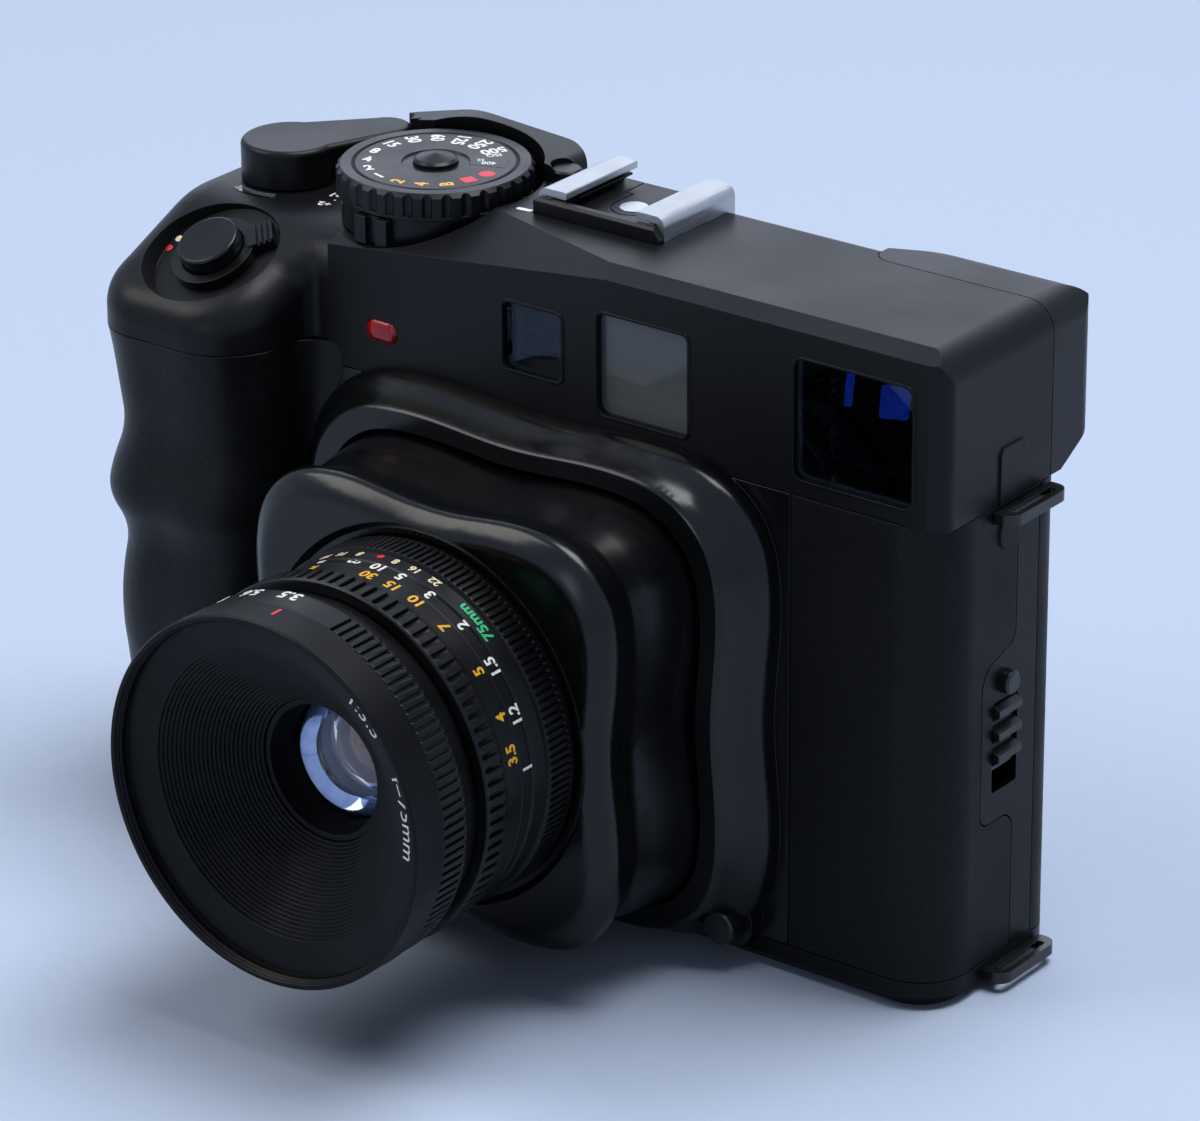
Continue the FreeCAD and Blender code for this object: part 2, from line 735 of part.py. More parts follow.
def make_latch():
    """Latch plate, slider with three ridges and its lock button."""
    points, radii = latch_outline(0.0)
    plate = prism(side_wire(points, radii, CAST_RIGHT_X + 0.4), V(BODY_RIGHT_X - CAST_RIGHT_X - 0.4, 0, 0))
    slot = prism(
        side_wire(
            rectangle(
                LATCH_SLOT_Y - LATCH_SLOT_HALF,
                LATCH_SLOT_Y + LATCH_SLOT_HALF,
                LATCH_SLOT_BOTTOM_Z,
                LATCH_SLOT_TOP_Z,
            ),
            (0.5,) * 4,
            CAST_RIGHT_X - 1,
        ),
        V(8, 0, 0),
    )
    plate = plate.cut(slot)
    lock_start = V(CAST_RIGHT_X - 3, LATCH_SLOT_Y, LOCK_Z)
    plate = plate.cut(rod(LOCK_R + SHAFT_GAP, lock_start, V(BODY_RIGHT_X + 5, LATCH_SLOT_Y, LOCK_Z)))
    node("latch_plate", plate)

    gap = RUNNING_GAP
    length = LATCH_SLOT_TOP_Z - LATCH_SLOT_BOTTOM_Z - LATCH_TRAVEL - 2 * gap
    top = LATCH_SLOT_TOP_Z - gap
    half = LATCH_SLOT_HALF - gap
    profile = [(BODY_RIGHT_X - 0.6, top - length), (CAST_RIGHT_X - 1.0, top - length), (CAST_RIGHT_X - 1.0, top)]
    pitch = length / 3
    for i in range(3):
        z = top - i * pitch
        profile.append((BODY_RIGHT_X - 0.6, z))
        profile.append((BODY_RIGHT_X + 1.1, z - 0.2 * pitch))
        profile.append((BODY_RIGHT_X + 1.1, z - 0.5 * pitch))
        profile.append((BODY_RIGHT_X - 0.6, z - 0.8 * pitch))
    wire = front_wire(profile, (0,) * len(profile), LATCH_SLOT_Y - half)
    slider = prism(wire, V(0, 2 * half, 0))
    foot = box(
        CAST_RIGHT_X - 3.2,
        CAST_RIGHT_X - 1.0,
        LATCH_SLOT_Y - LATCH_SLOT_HALF - 0.5,
        LATCH_SLOT_Y + LATCH_SLOT_HALF + 0.5,
        top - length,
        top - 0.6,
    )
    node("latch_slider", slider.fuse(foot).removeSplitter())

    button = rod(LOCK_R, V(CAST_RIGHT_X - 1.0, LATCH_SLOT_Y, LOCK_Z), V(BODY_RIGHT_X + 1.6, LATCH_SLOT_Y, LOCK_Z))
    button = button.makeChamfer(0.35, [e for e in button.Edges if e.BoundBox.XMin > BODY_RIGHT_X + 1.5])
    node("latch_lock_button", button)


def make_lugs():
    """Two strap lugs, flat rectangular loops on the right side."""
    for name, z in (("strap_lug_upper", LUG_UPPER_Z), ("strap_lug_lower", LUG_LOWER_Z)):
        outer = plan_wire(
            (
                (LUG_REACH_X, LUG_REAR_Y),
                (BODY_RIGHT_X + SEAM_GAP, LUG_REAR_Y),
                (BODY_RIGHT_X + SEAM_GAP, LUG_ROOT_Y),
                (CAST_RIGHT_X + 0.4, LUG_ROOT_Y),
                (CAST_RIGHT_X + 0.4, LUG_FRONT_Y),
                (LUG_REACH_X, LUG_FRONT_Y),
            ),
            (2.2, 0.6, 0, 0, 0, 2.2),
            z - LUG_THICK / 2,
        )
        slot = plan_wire(
            (
                (LUG_REACH_X - 1.1, LUG_REAR_Y - 1.9),
                (BODY_RIGHT_X + 1.4, LUG_REAR_Y - 1.9),
                (BODY_RIGHT_X + 1.4, LUG_FRONT_Y + 1.9),
                (LUG_REACH_X - 1.1, LUG_FRONT_Y + 1.9),
            ),
            (0.5,) * 4,
            z - LUG_THICK,
        )
        node(name, prism(outer, V(0, 0, LUG_THICK)).cut(prism(slot, V(0, 0, 2 * LUG_THICK))))


def make_base():
    """Base pan, tripod bush, battery cap and the curtain knob."""
    lower = body_outline(0.0, 2.2)
    middle = body_outline(2.2, 0.0)
    upper = body_outline(BASE_HEIGHT, 0.0)
    pan = Part.makeLoft([lower, middle], True, True).fuse(Part.makeLoft([middle, upper], True, True))
    pan = pan.cut(prism(body_outline(2.0, COVER_WALL), V(0, 0, BASE_HEIGHT)))
    pan = pan.fuse(upright(TRIPOD_BUSH_R + 2, 0, 0, 1.0, BASE_HEIGHT)).removeSplitter()
    pan = pan.cut(upright(TRIPOD_BUSH_R, 0, 0, -1, BASE_HEIGHT + 1))
    pan = pan.cut(upright(KNOB_R + RUNNING_GAP, KNOB_X, KNOB_Y, -1, 6))
    pan = pan.cut(upright(BATTERY_R + 2 + SHAFT_GAP, BATTERY_X, BATTERY_Y, -1, 6))
    pan = pan.cut(lug_slot(LUG_LOWER_Z))
    pan = pan.cut(
        rod(
            COLLAPSE_COLLAR_R + SEAM_GAP,
            V(COLLAPSE_X, BODY_FRONT_Y - 9, COLLAPSE_Z),
            V(COLLAPSE_X, BODY_FRONT_Y + COVER_WALL + 1, COLLAPSE_Z),
        )
    )
    pan = pan.cut(frame_form(SEAM_GAP, BODY_FRONT_Y + 0.01))
    node("base_plate", pan)

    bush = upright(TRIPOD_BUSH_R, 0, 0, 0, TRIPOD_DEPTH + TRIPOD_BUSH_END)
    node("tripod_bush", bush.cut(upright(TRIPOD_THREAD_R, 0, 0, -1, TRIPOD_DEPTH)))

    knob = turned_upright(((0, 0.4), (KNOB_R - 0.6, 0.4), (KNOB_R, 1.0), (KNOB_R, 3.4), (0, 3.4)), KNOB_X, KNOB_Y)
    knob = knob.cut(box(KNOB_X - KNOB_R + 1.4, KNOB_X - 1.2, KNOB_Y - 3.6, KNOB_Y + 3.6, 0, 2.4))
    knob = knob.cut(box(KNOB_X + 1.2, KNOB_X + KNOB_R - 1.4, KNOB_Y - 3.6, KNOB_Y + 3.6, 0, 2.4))
    node("curtain_knob", knob)

    cap = upright(BATTERY_R + 2, BATTERY_X, BATTERY_Y, 0.2, 3.4)
    cap = cap.cut(box(BATTERY_X - BATTERY_R, BATTERY_X + BATTERY_R, BATTERY_Y - 0.7, BATTERY_Y + 0.7, -1, 1.2))
    node("battery_cap", cap)
    cells = []
    for i in range(BATTERY_COUNT):
        z = BATTERY_BOTTOM_Z + i * (BATTERY_THICK + 0.1)
        cells.append(upright(BATTERY_R, BATTERY_X, BATTERY_Y, z, z + BATTERY_THICK))
    node("batteries", Part.makeCompound(cells))


def shoulder_form(inset):
    """Left shoulder of the top cover, sloping down to the front over the grip."""
    plan = prism(
        grip_section(GRIP_SEAM_Z - 5, 0.0, inset, DIAL_X + 10), V(0, 0, DECK_Z + 10 - GRIP_SEAM_Z)
    )
    top = DECK_Z - inset
    profile = side_wire(
        (
            (BODY_REAR_Y + 5, GRIP_SEAM_Z - 6),
            (BODY_REAR_Y + 5, top),
            (SHOULDER_BREAK_Y, top),
            (-33.0, top - 10.2),
            (GRIP_FRONT_Y - 6, top - 19.0),
            (GRIP_FRONT_Y - 6, GRIP_SEAM_Z - 6),
        ),
        (0, 0, 18, 10, 0, 0),
        -95,
    )
    return plan.common(prism(profile, V(BEYOND, 0, 0)))


def end_envelope():
    """Space left of the rounded top edge at the right end of the top cover."""
    right = BODY_RIGHT_X
    points = ((-99, 0), (right, 0), (right, TOP_FLAT_Z), (-99, TOP_FLAT_Z))
    return prism(front_wire(points, (0, 0, ROOF_EDGE_R, 0), -60), V(0, 120, 0))


def housing_form(inset):
    """Finder housing: the long block with its front chamfer."""
    side = side_wire(
        (
            (BODY_FRONT_Y + inset, LOWER_SEAM_Z - 5),
            (BODY_REAR_Y - inset, LOWER_SEAM_Z - 5),
            (BODY_REAR_Y - inset, TOP_FLAT_Z - inset),
            (BODY_FRONT_Y + 3.8, TOP_FLAT_Z - inset),
            (BODY_FRONT_Y + inset, TOP_FLAT_Z - 1.3 - inset * 0.4),
        ),
        (0, 0, 2.4, 0, 0),
        DIAL_X - 8 + inset,
    )
    return prism(side, V(BODY_RIGHT_X - inset - (DIAL_X - 8 + inset), 0, 0))


def make_top_cover():
    """Top cover with shoulder, finder housing, dial pocket and thumb crest."""
    shoulder = shoulder_form(0.0)
    edges = [
        e
        for e in shoulder.Edges
        if e.BoundBox.ZMin > GRIP_SEAM_Z + 1 and e.BoundBox.XMax < DIAL_X + 5 and e.BoundBox.XMin < -50
    ]
    shoulder = shoulder.makeFillet(SHOULDER_R, edges)
    housing = housing_form(0.0)
    corner = [
        e
        for e in housing.Edges
        if abs(e.BoundBox.XMin - BODY_RIGHT_X) < 0.01
        and abs(e.BoundBox.XMax - BODY_RIGHT_X) < 0.01
        and abs(e.BoundBox.YMax - BODY_FRONT_Y) < 0.01
    ]
    housing = housing.makeFillet(FINDER_CORNER_R, corner).common(end_envelope())
    # Sloping facet in front of the dial
    housing = housing.cut(facet_cutter())
    pocket = upright(DIAL_POCKET_R, DIAL_X, DIAL_Y, DECK_Z, TOP_FLAT_Z + 20)
    left_of_dial = box(-BEYOND, DIAL_X, BODY_FRONT_Y - 1, BEYOND, DECK_Z, TOP_FLAT_Z + 20)
    housing = housing.cut([pocket, left_of_dial])
    crest = crest_form().cut(upright(DIAL_POCKET_R, DIAL_X, DIAL_Y, DECK_Z, TOP_FLAT_Z + 20))
    outer = housing.fuse([shoulder, crest])
    # Trim below the seams
    outer = outer.cut(grip_edge_tool(SEAM_GAP).common(box(-BEYOND, 0, -BEYOND, 0, 0, BEYOND)))
    outer = outer.cut(box(-BEYOND, BEYOND, -BEYOND, BEYOND, 0, LOWER_SEAM_Z + SEAM_GAP))
    outer = outer.cut(box(-BEYOND, HINGE_X - HINGE_R - RUNNING_GAP, -BEYOND, BEYOND, 0, GRIP_SEAM_Z + SEAM_GAP))

    pocket_edge = DIAL_X + DIAL_POCKET_R + 2
    inner = housing_form(COVER_WALL)
    inner = inner.cut(box(-BEYOND, pocket_edge, -BEYOND, BEYOND, DECK_Z - COVER_WALL, BEYOND))
    deeper = facet_cutter()
    deeper.translate(V(0, COVER_WALL * 0.8, -COVER_WALL))
    inner = inner.cut(deeper)
    inner = inner.fuse(shoulder_form(COVER_WALL + 1.2))
    inner = inner.cut(box(FINDER_END_X - 3, BEYOND, FINDER_SEAM_Y - COVER_WALL, BEYOND, LOWER_SEAM_Z, BEYOND))
    shell = outer.cut(inner)

    # Finder rear cover's place
    shell = shell.cut(finder_cover_room(SEAM_GAP))
    for left, right, bottom, top in (FINDER_WINDOW, LIGHT_WINDOW, RANGE_WINDOW, LAMP_WINDOW):
        shell = shell.cut(front_plate(left, right, bottom, top, WINDOW_R, BODY_FRONT_Y - 1, BODY_FRONT_Y + 4))
    shell = shell.cut(frame_form(SEAM_GAP, BODY_FRONT_Y + 0.01))
    # Seats for what stands on the top
    shell = shell.cut(shoe_seat(SEAM_GAP))
    shell = shell.cut(upright(CHECK_R + SHAFT_GAP, CHECK_X, CHECK_Y, DECK_Z, BEYOND))
    shell = shell.cut(upright(STEM_R + SHAFT_GAP, DIAL_X, DIAL_Y, CAST_TOP_Z, DECK_Z + 5))
    shell = shell.cut(upright(STEM_R + SHAFT_GAP, LEVER_X, LEVER_Y, CAST_TOP_Z, DECK_Z + 5))
    shell = shell.cut(counter_slot(0.0, 6))
    axis = release_axis()
    seat = V(RELEASE_X, RELEASE_Y, RELEASE_Z)
    shell = shell.cut(Part.makeCone(RELEASE_SEAT_R, RELEASE_SEAT_R + 3.0, 8.0, seat, axis))
    pad = Part.makeCylinder(RELEASE_SEAT_R + 1.2, 1.8, seat - axis * 1.8, axis)
    shell = shell.fuse(pad.common(shoulder_form(0.4)).common(shoulder))
    shell = shell.cut(Part.makeCylinder(STEM_R + SHAFT_GAP, 14, seat - axis * 7, axis))
    shell = shell.cut(lug_slot(LUG_UPPER_Z))
    # Raised pad over the upper strap lug
    pad_wire = side_wire(
        ((-2.0, LOWER_SEAM_Z + SEAM_GAP), (5.2, LOWER_SEAM_Z + SEAM_GAP), (5.2, LUG_PAD_TOP_Z), (-2.0, LUG_PAD_TOP_Z)),
        (0, 0, 1.5, 1.5),
        BODY_RIGHT_X - COVER_WALL / 2,
    )
    shell = shell.fuse(prism(pad_wire, V(COVER_WALL / 2 + LUG_PAD, 0, 0)))
    node("top_cover", shell.removeSplitter())


def facet_cutter():
    """Block over the sloping facet between the dial and the front edge."""
    a = V(-16.5, -5.5, TOP_FLAT_Z)
    b = V(10.4, BODY_FRONT_Y + 3.8, TOP_FLAT_Z)
    c = V(-21.0, BODY_FRONT_Y, TOP_FLAT_Z - 5.2)
    normal = (b - a).cross(c - a)
    normal.normalize()
    if normal.z < 0:
        normal = normal * -1
    block = Part.makeBox(120, 120, 30, V(-60, -60, 0))
    block.Placement = FreeCAD.Placement(a, FreeCAD.Rotation(V(0, 0, 1), normal))
    return block


def crest_form():
    """Raised crest behind the dial, the top of the thumb rest."""
    profile = front_wire(
        (
            (-58.0, DECK_Z - 4.8),
            (-17.0, DECK_Z - 4.8),
            (-17.0, TOP_FLAT_Z + 2.8),
            (-42.0, TOP_FLAT_Z + 4.4),
            (-58.0, TOP_FLAT_Z + 0.4),
        ),
        (0, 0, 2.2, 20, 1.5),
        DIAL_Y + 6,
    )
    crest = prism(profile, V(0, 20, 0))
    plan = plan_wire(
        ((-17.0, 17.0), (-22.0, 20.4), (-56.0, 20.4), (-62.0, 16.0), (-56.0, 16.0), (-17.0, 9.0)),
        (0, 6, 6, 0, 0, 0),
        90,
    )
    crest = crest.common(prism(plan, V(0, 0, 40)))
    lever_room = upright(LEVER_TIP_R + 0.6, LEVER_TIP_X, LEVER_TIP_Y, DECK_Z, BEYOND)
    back = box(-BEYOND, -50.0, 0, 16.0, DECK_Z, BEYOND)
    return crest.cut([lever_room, back])


def counter_slot(grow, depth):
    """Curved window of the frame counter, in front of the lever's disc."""
    ring = upright(COUNTER_R - 0.2 + grow, LEVER_X, LEVER_Y, DECK_Z - depth, DECK_Z + 1)
    ring = ring.cut(upright(LEVER_R + 0.6 - grow, LEVER_X, LEVER_Y, DECK_Z - depth - 1, DECK_Z + 2))
    wedge = plan_wire(
        (
            (LEVER_X, LEVER_Y),
            (LEVER_X - 6.4 - grow, LEVER_Y - 14),
            (LEVER_X + 6.4 + grow, LEVER_Y - 14),
        ),
        (0, 0, 0),
        DECK_Z - depth - 1,
    )
    return ring.common(prism(wedge, V(0, 0, depth + 3)))


def release_axis():
    """Direction that the release button points."""
    axis = V(RELEASE_TILT_X, RELEASE_TILT_Y, 1.0)
    axis.normalize()
    return axis


def finder_cover_room(gap):
    """Room taken from the top cover by the finder rear cover."""
    plan = plan_wire(
        (
            (BODY_RIGHT_X + 5, FINDER_REAR_Y + 5),
            (FINDER_END_X - gap, FINDER_REAR_Y + 5),
            (FINDER_END_X - gap, FINDER_SEAM_Y - gap),
            (BODY_RIGHT_X + 5, FINDER_SEAM_Y - gap),
        ),
        (0, 0, 3.6, 0),
        LOWER_SEAM_Z - 3,
    )
    return prism(plan, V(0, 0, 60))


def finder_cover_form(inset):
    """Outer or inner form of the finder rear cover."""
    plan = plan_wire(
        (
            (BODY_RIGHT_X - inset, FINDER_REAR_Y - inset),
            (58.0, FINDER_REAR_Y - inset),
            (FINDER_END_X + inset, BODY_REAR_Y - inset),
            (FINDER_END_X + inset, FINDER_SEAM_Y + (inset and -1.0)),
            (BODY_RIGHT_X - inset, FINDER_SEAM_Y + (inset and -1.0)),
        ),
        (3.5 - inset, 16, 0.5, 3.4 - inset, 0),
        LOWER_SEAM_Z - 3,
    )
    side = side_wire(
        (
            (FINDER_SEAM_Y - 3, LOWER_SEAM_Z + SEAM_GAP + inset),
            (FINDER_BEVEL_Y, LOWER_SEAM_Z + SEAM_GAP + inset),
            (FINDER_REAR_Y - inset, FINDER_BEVEL_Z + inset * 0.6),
            (FINDER_REAR_Y - inset, TOP_FLAT_Z - inset),
            (FINDER_SEAM_Y - 3, TOP_FLAT_Z - inset),
        ),
        (0, 0, 2.0, 5.0 - inset, 0),
        0,
    )
    return prism(plan, V(0, 0, 60)).common(prism(side, V(90, 0, 0)))


def make_finder():
    """Finder rear cover, eyepiece, windows and the optical parts behind them."""
    cover = finder_cover_form(0.0).common(end_envelope())
    cover = cover.cut(finder_cover_form(COVER_WALL + 0.6))
    eye_front = V(EYEPIECE_X, FINDER_SEAM_Y, EYEPIECE_Z)
    cover = cover.cut(rod(EYEPIECE_R - 1.2 + SHAFT_GAP, eye_front, V(EYEPIECE_X, 40, EYEPIECE_Z)))
    node("finder_rear_cover", cover)

    rim = rod(EYEPIECE_R, V(EYEPIECE_X, FINDER_REAR_Y, EYEPIECE_Z), V(EYEPIECE_X, FINDER_REAR_Y + 1.4, EYEPIECE_Z))
    stem = rod(EYEPIECE_R - 1.2, V(EYEPIECE_X, FINDER_REAR_Y - 4, EYEPIECE_Z), V(EYEPIECE_X, FINDER_REAR_Y, EYEPIECE_Z))
    bore = rod(5.0, V(EYEPIECE_X, FINDER_REAR_Y - 6, EYEPIECE_Z), V(EYEPIECE_X, FINDER_REAR_Y + 3, EYEPIECE_Z))
    node("eyepiece_ring", rim.fuse(stem).cut(bore).removeSplitter())
    node(
        "eyepiece_lens",
        rod(5.0, V(EYEPIECE_X, FINDER_REAR_Y - 3.2, EYEPIECE_Z), V(EYEPIECE_X, FINDER_REAR_Y - 0.6, EYEPIECE_Z)),
    )

    for name, window in (
        ("finder_window", FINDER_WINDOW),
        ("illumination_window", LIGHT_WINDOW),
        ("rangefinder_window", RANGE_WINDOW),
        ("timer_lamp", LAMP_WINDOW),
    ):
        left, right, bottom, top = window
        recess = 0.0 if name == "timer_lamp" else WINDOW_RECESS
        pane = front_plate(
            left + 0.05,
            right - 0.05,
            bottom + 0.05,
            top - 0.05,
            WINDOW_R,
            BODY_FRONT_Y + recess,
            BODY_FRONT_Y + COVER_WALL + 0.2,
        )
        node(name, pane)

    # Optical block carried on the chassis
    floor = CAST_TOP_Z
    bridge = box(-10, 70, -9.0, 8.0, floor, floor + 2.0)
    bridge = bridge.fuse(box(66, 68, -9.0, 8.0, floor + 2, floor + 20)).removeSplitter()
    y0 = -8.0
    objective = front_plate(50.5, 65.5, floor + 2.0, floor + 22.0, 1.0, y0 - 3.0, y0 - 0.6)
    mirror = prism(
        plan_wire(((51.0, -6.0), (52.4, -6.9), (63.4, 5.4), (62.0, 6.4)), (0,) * 4, floor + 2.0), V(0, 0, 19)
    )
    node("finder_optics", Part.makeCompound([objective, mirror]))
    mask = box(14.0, 30.0, -4.0, -2.8, floor + 2.0, floor + 19.0)
    mask = mask.cut(box(16.0, 28.0, -5.0, -2.0, floor + 5.0, floor + 17.0))
    node("finder_chassis", bridge.fuse(mask).removeSplitter())


def make_range_mirror():
    """Turning mirror arm that follows the focusing."""
    floor = CAST_TOP_Z + 2.0
    post = upright(1.4, -2.0, 2.0, floor + RUNNING_GAP, floor + 17)
    plate = box(-7.0, 3.0, 1.2, 2.8, floor + 5, floor + 16)
    plate.rotate(V(-2.0, 2.0, 0), V(0, 0, 1), 45)
    arm = box(-2.0, 10.0, 1.4, 2.6, floor + 1.2, floor + 3.4)
    node("range_mirror_arm", post.fuse([plate, arm]).removeSplitter())


def shoe_seat(grow):
    """Pocket in the top cover for the shoe."""
    return box(
        SHOE_LEFT_X - grow,
        SHOE_RIGHT_X + grow,
        SHOE_FRONT_Y - grow,
        SHOE_REAR_Y + 3,
        TOP_FLAT_Z - 0.8,
        TOP_FLAT_Z + 20,
    )


def shoe_insert(grow, centre_x, centre_y):
    """Outline of the contact plate let into the shoe's floor, as a block."""
    z0 = SHOE_FLOOR_Z - INSERT_GROOVE
    z1 = SHOE_FLOOR_Z + 1.0
    disc = upright(INSERT_R + grow, centre_x, centre_y, z0, z1)
    reach = SHOE_REAR_Y + 1.0
    neck = box(centre_x - INSERT_R - grow, centre_x + INSERT_R + grow, centre_y, reach, z0, z1)
    wide = box(centre_x - INSERT_R - 1.6 - grow, centre_x + INSERT_R + grow, centre_y + 4.6 - grow, reach, z0, z1)
    return disc.fuse([neck, wide])


def shoe_rail(side, centre_x):
    """One rail of bent sheet: a wall that stands on the top and a lip over the slot."""
    wall_x = SHOE_RIGHT_X if side > 0 else SHOE_LEFT_X
    lip_x = centre_x + side * (SHOE_SLOT_HALF - SHOE_LIP)
    front = SHOE_FRONT_Y + SHOE_STOP_DEPTH
    low = TOP_FLAT_Z - SHOE_SINK
    outer = (
        (wall_x, low),
        (wall_x, SHOE_RAIL_TOP_Z),
        (lip_x, SHOE_RAIL_TOP_Z),
        (lip_x, SHOE_RAIL_TOP_Z - SHOE_SHEET),
        (wall_x - side * SHOE_SHEET, SHOE_RAIL_TOP_Z - SHOE_SHEET),
        (wall_x - side * SHOE_SHEET, low),
    )
    radii = (0, SHOE_BEND_R, 0.3, 0.3, SHOE_BEND_R - SHOE_SHEET, 0)
    return prism(front_wire(outer, radii, front), V(0, SHOE_REAR_Y - front, 0))


def make_shoe():
    """Accessory shoe: moulded base, bright bent rails and the centre contact."""
    low = TOP_FLAT_Z - SHOE_SINK
    centre_x = (SHOE_LEFT_X + SHOE_RIGHT_X) / 2
    centre_y = (SHOE_FRONT_Y + SHOE_REAR_Y) / 2
    left = SHOE_LEFT_X + SHOE_SHEET + SEAM_GAP / 4
    right = SHOE_RIGHT_X - SHOE_SHEET - SEAM_GAP / 4
    base = box(left, right, SHOE_FRONT_Y, SHOE_REAR_Y, low, SHOE_FLOOR_Z)
    under_lip = SHOE_RAIL_TOP_Z - SHOE_SHEET - SEAM_GAP / 4
    for side, edge_x in ((-1, left), (1, right)):
        slot_x = centre_x + side * SHOE_SLOT_HALF
        bed_wire = front_wire(
            ((edge_x, low), (edge_x, under_lip), (slot_x, under_lip), (slot_x, low)),
            (0, SHOE_BEND_R - SHOE_SHEET + SEAM_GAP, 0, 0),
            SHOE_FRONT_Y + SHOE_STOP_DEPTH / 2,
        )
        bed = prism(bed_wire, V(0, SHOE_REAR_Y - SHOE_FRONT_Y - SHOE_STOP_DEPTH / 2, 0))
        leaf_x = centre_x + side * (SHOE_SLOT_HALF - SHOE_LIP + 0.2)
        leaf = box(
            min(leaf_x, slot_x + side),
            max(leaf_x, slot_x + side),
            SHOE_FRONT_Y + 5.0,
            SHOE_REAR_Y - 1.0,
            under_lip - 0.75,
            under_lip - 0.4,
        )
        base = base.fuse([bed, leaf])
    stop_wire = front_wire(
        (
            (SHOE_LEFT_X, low),
            (SHOE_LEFT_X, SHOE_FLOOR_Z + SHOE_STOP_HEIGHT),
            (SHOE_RIGHT_X - 1.4, SHOE_FLOOR_Z + SHOE_STOP_HEIGHT),
            (SHOE_RIGHT_X, SHOE_FLOOR_Z),
            (SHOE_RIGHT_X, low),
        ),
        (0, 0.6, 0.4, 0.4, 0),
        SHOE_FRONT_Y,
    )
    stop = prism(stop_wire, V(0, SHOE_STOP_DEPTH - SEAM_GAP / 4, 0))
    bevel = prism(
        side_wire(
            (
                (SHOE_FRONT_Y - 1.0, SHOE_FLOOR_Z + SHOE_STOP_HEIGHT - 1.5),
                (SHOE_FRONT_Y + 0.5, SHOE_FLOOR_Z + SHOE_STOP_HEIGHT + 0.1),
                (SHOE_FRONT_Y - 1.0, SHOE_FLOOR_Z + SHOE_STOP_HEIGHT + 0.1),
            ),
            (0, 0, 0),
            SHOE_LEFT_X - 1,
        ),
        V(SHOE_RIGHT_X - SHOE_LEFT_X + 2, 0, 0),
    )
    base = base.fuse(stop.cut(bevel)).removeSplitter()
    groove = shoe_insert(INSERT_GROOVE / 2, centre_x, centre_y).cut(shoe_insert(-INSERT_GROOVE / 2, centre_x, centre_y))
    base = base.cut(groove)
    base = base.cut(upright(CONTACT_R, centre_x, centre_y, SHOE_FLOOR_Z - CONTACT_DEPTH, SHOE_FLOOR_Z + 1))
    node("shoe_base", base)
    contact = upright(CONTACT_R, centre_x, centre_y, SHOE_FLOOR_Z - CONTACT_DEPTH, SHOE_FLOOR_Z + 0.1)
    node("shoe_contact", contact)
    node("shoe_rails", Part.makeCompound([shoe_rail(side, centre_x) for side in (-1, 1)]))


def make_dial():
    """Shutter dial, its centre cap and the compensation ring with its tab."""
    bottom = DIAL_TOP_Z - DIAL_HEIGHT
    dial = turned_upright(
        (
            (CAP_R + SHAFT_GAP, bottom),
            (DIAL_R, bottom),
            (DIAL_R, DIAL_TOP_Z - 0.7),
            (DIAL_R - 0.7, DIAL_TOP_Z),
            (DIAL_FACE_R + 0.3, DIAL_TOP_Z),
            (DIAL_FACE_R, DIAL_TOP_Z - 0.4),
            (DIAL_FACE_R - 0.4, DIAL_TOP_Z),
            (CAP_R + 1.9, DIAL_TOP_Z),
            (CAP_R + 1.7, DIAL_TOP_Z - 0.3),
            (CAP_R + SHAFT_GAP, DIAL_TOP_Z - 0.3),
        ),
        DIAL_X,
        DIAL_Y,
    )
    notch = upright(0.9, DIAL_X + DIAL_R + 0.35, DIAL_Y, bottom + 0.5, DIAL_TOP_Z + 1)
    dial = dial.cut(Part.makeCompound(around_upright(notch, DIAL_X, DIAL_Y, DIAL_NOTCHES)))
    stem = turned_upright(
        (
            (0, bottom - 9.0),
            (STEM_R, bottom - 9.0),
            (STEM_R, bottom - 0.001),
            (CAP_R + 0.6, bottom),
            (CAP_R + 0.6, bottom + 1.2),
            (0, bottom + 1.2),
        ),
        DIAL_X,
        DIAL_Y,
    )
    node("shutter_dial", dial.fuse(stem).removeSplitter())
    cap = turned_upright(
        (
            (0, bottom + 2.4),
            (CAP_R, bottom + 2.4),
            (CAP_R, DIAL_TOP_Z + 0.3),
            (CAP_R - 0.5, DIAL_TOP_Z + 0.7),
            (0, DIAL_TOP_Z + 1.5),
        ),
        DIAL_X,
        DIAL_Y,
    )
    node("dial_cap", cap)

    ring_top = bottom - RUNNING_GAP
    ring = upright(DIAL_R - 0.7, DIAL_X, DIAL_Y, DECK_Z + RUNNING_GAP, ring_top)
    ring = ring.cut(upright(STEM_R + SHAFT_GAP, DIAL_X, DIAL_Y, DECK_Z - 1, ring_top + 1))
    tab = box(DIAL_X - 3.2, DIAL_X + 3.2, DIAL_Y - TAB_REACH, DIAL_Y - DIAL_R + 3, DECK_Z + RUNNING_GAP, ring_top)
    tab = tab.cut(box(DIAL_X - 1.0, DIAL_X + 1.0, DIAL_Y - TAB_REACH - 1, DIAL_Y - TAB_REACH + 0.9, 0, BEYOND))
    node("compensation_ring", ring.fuse(tab).removeSplitter())


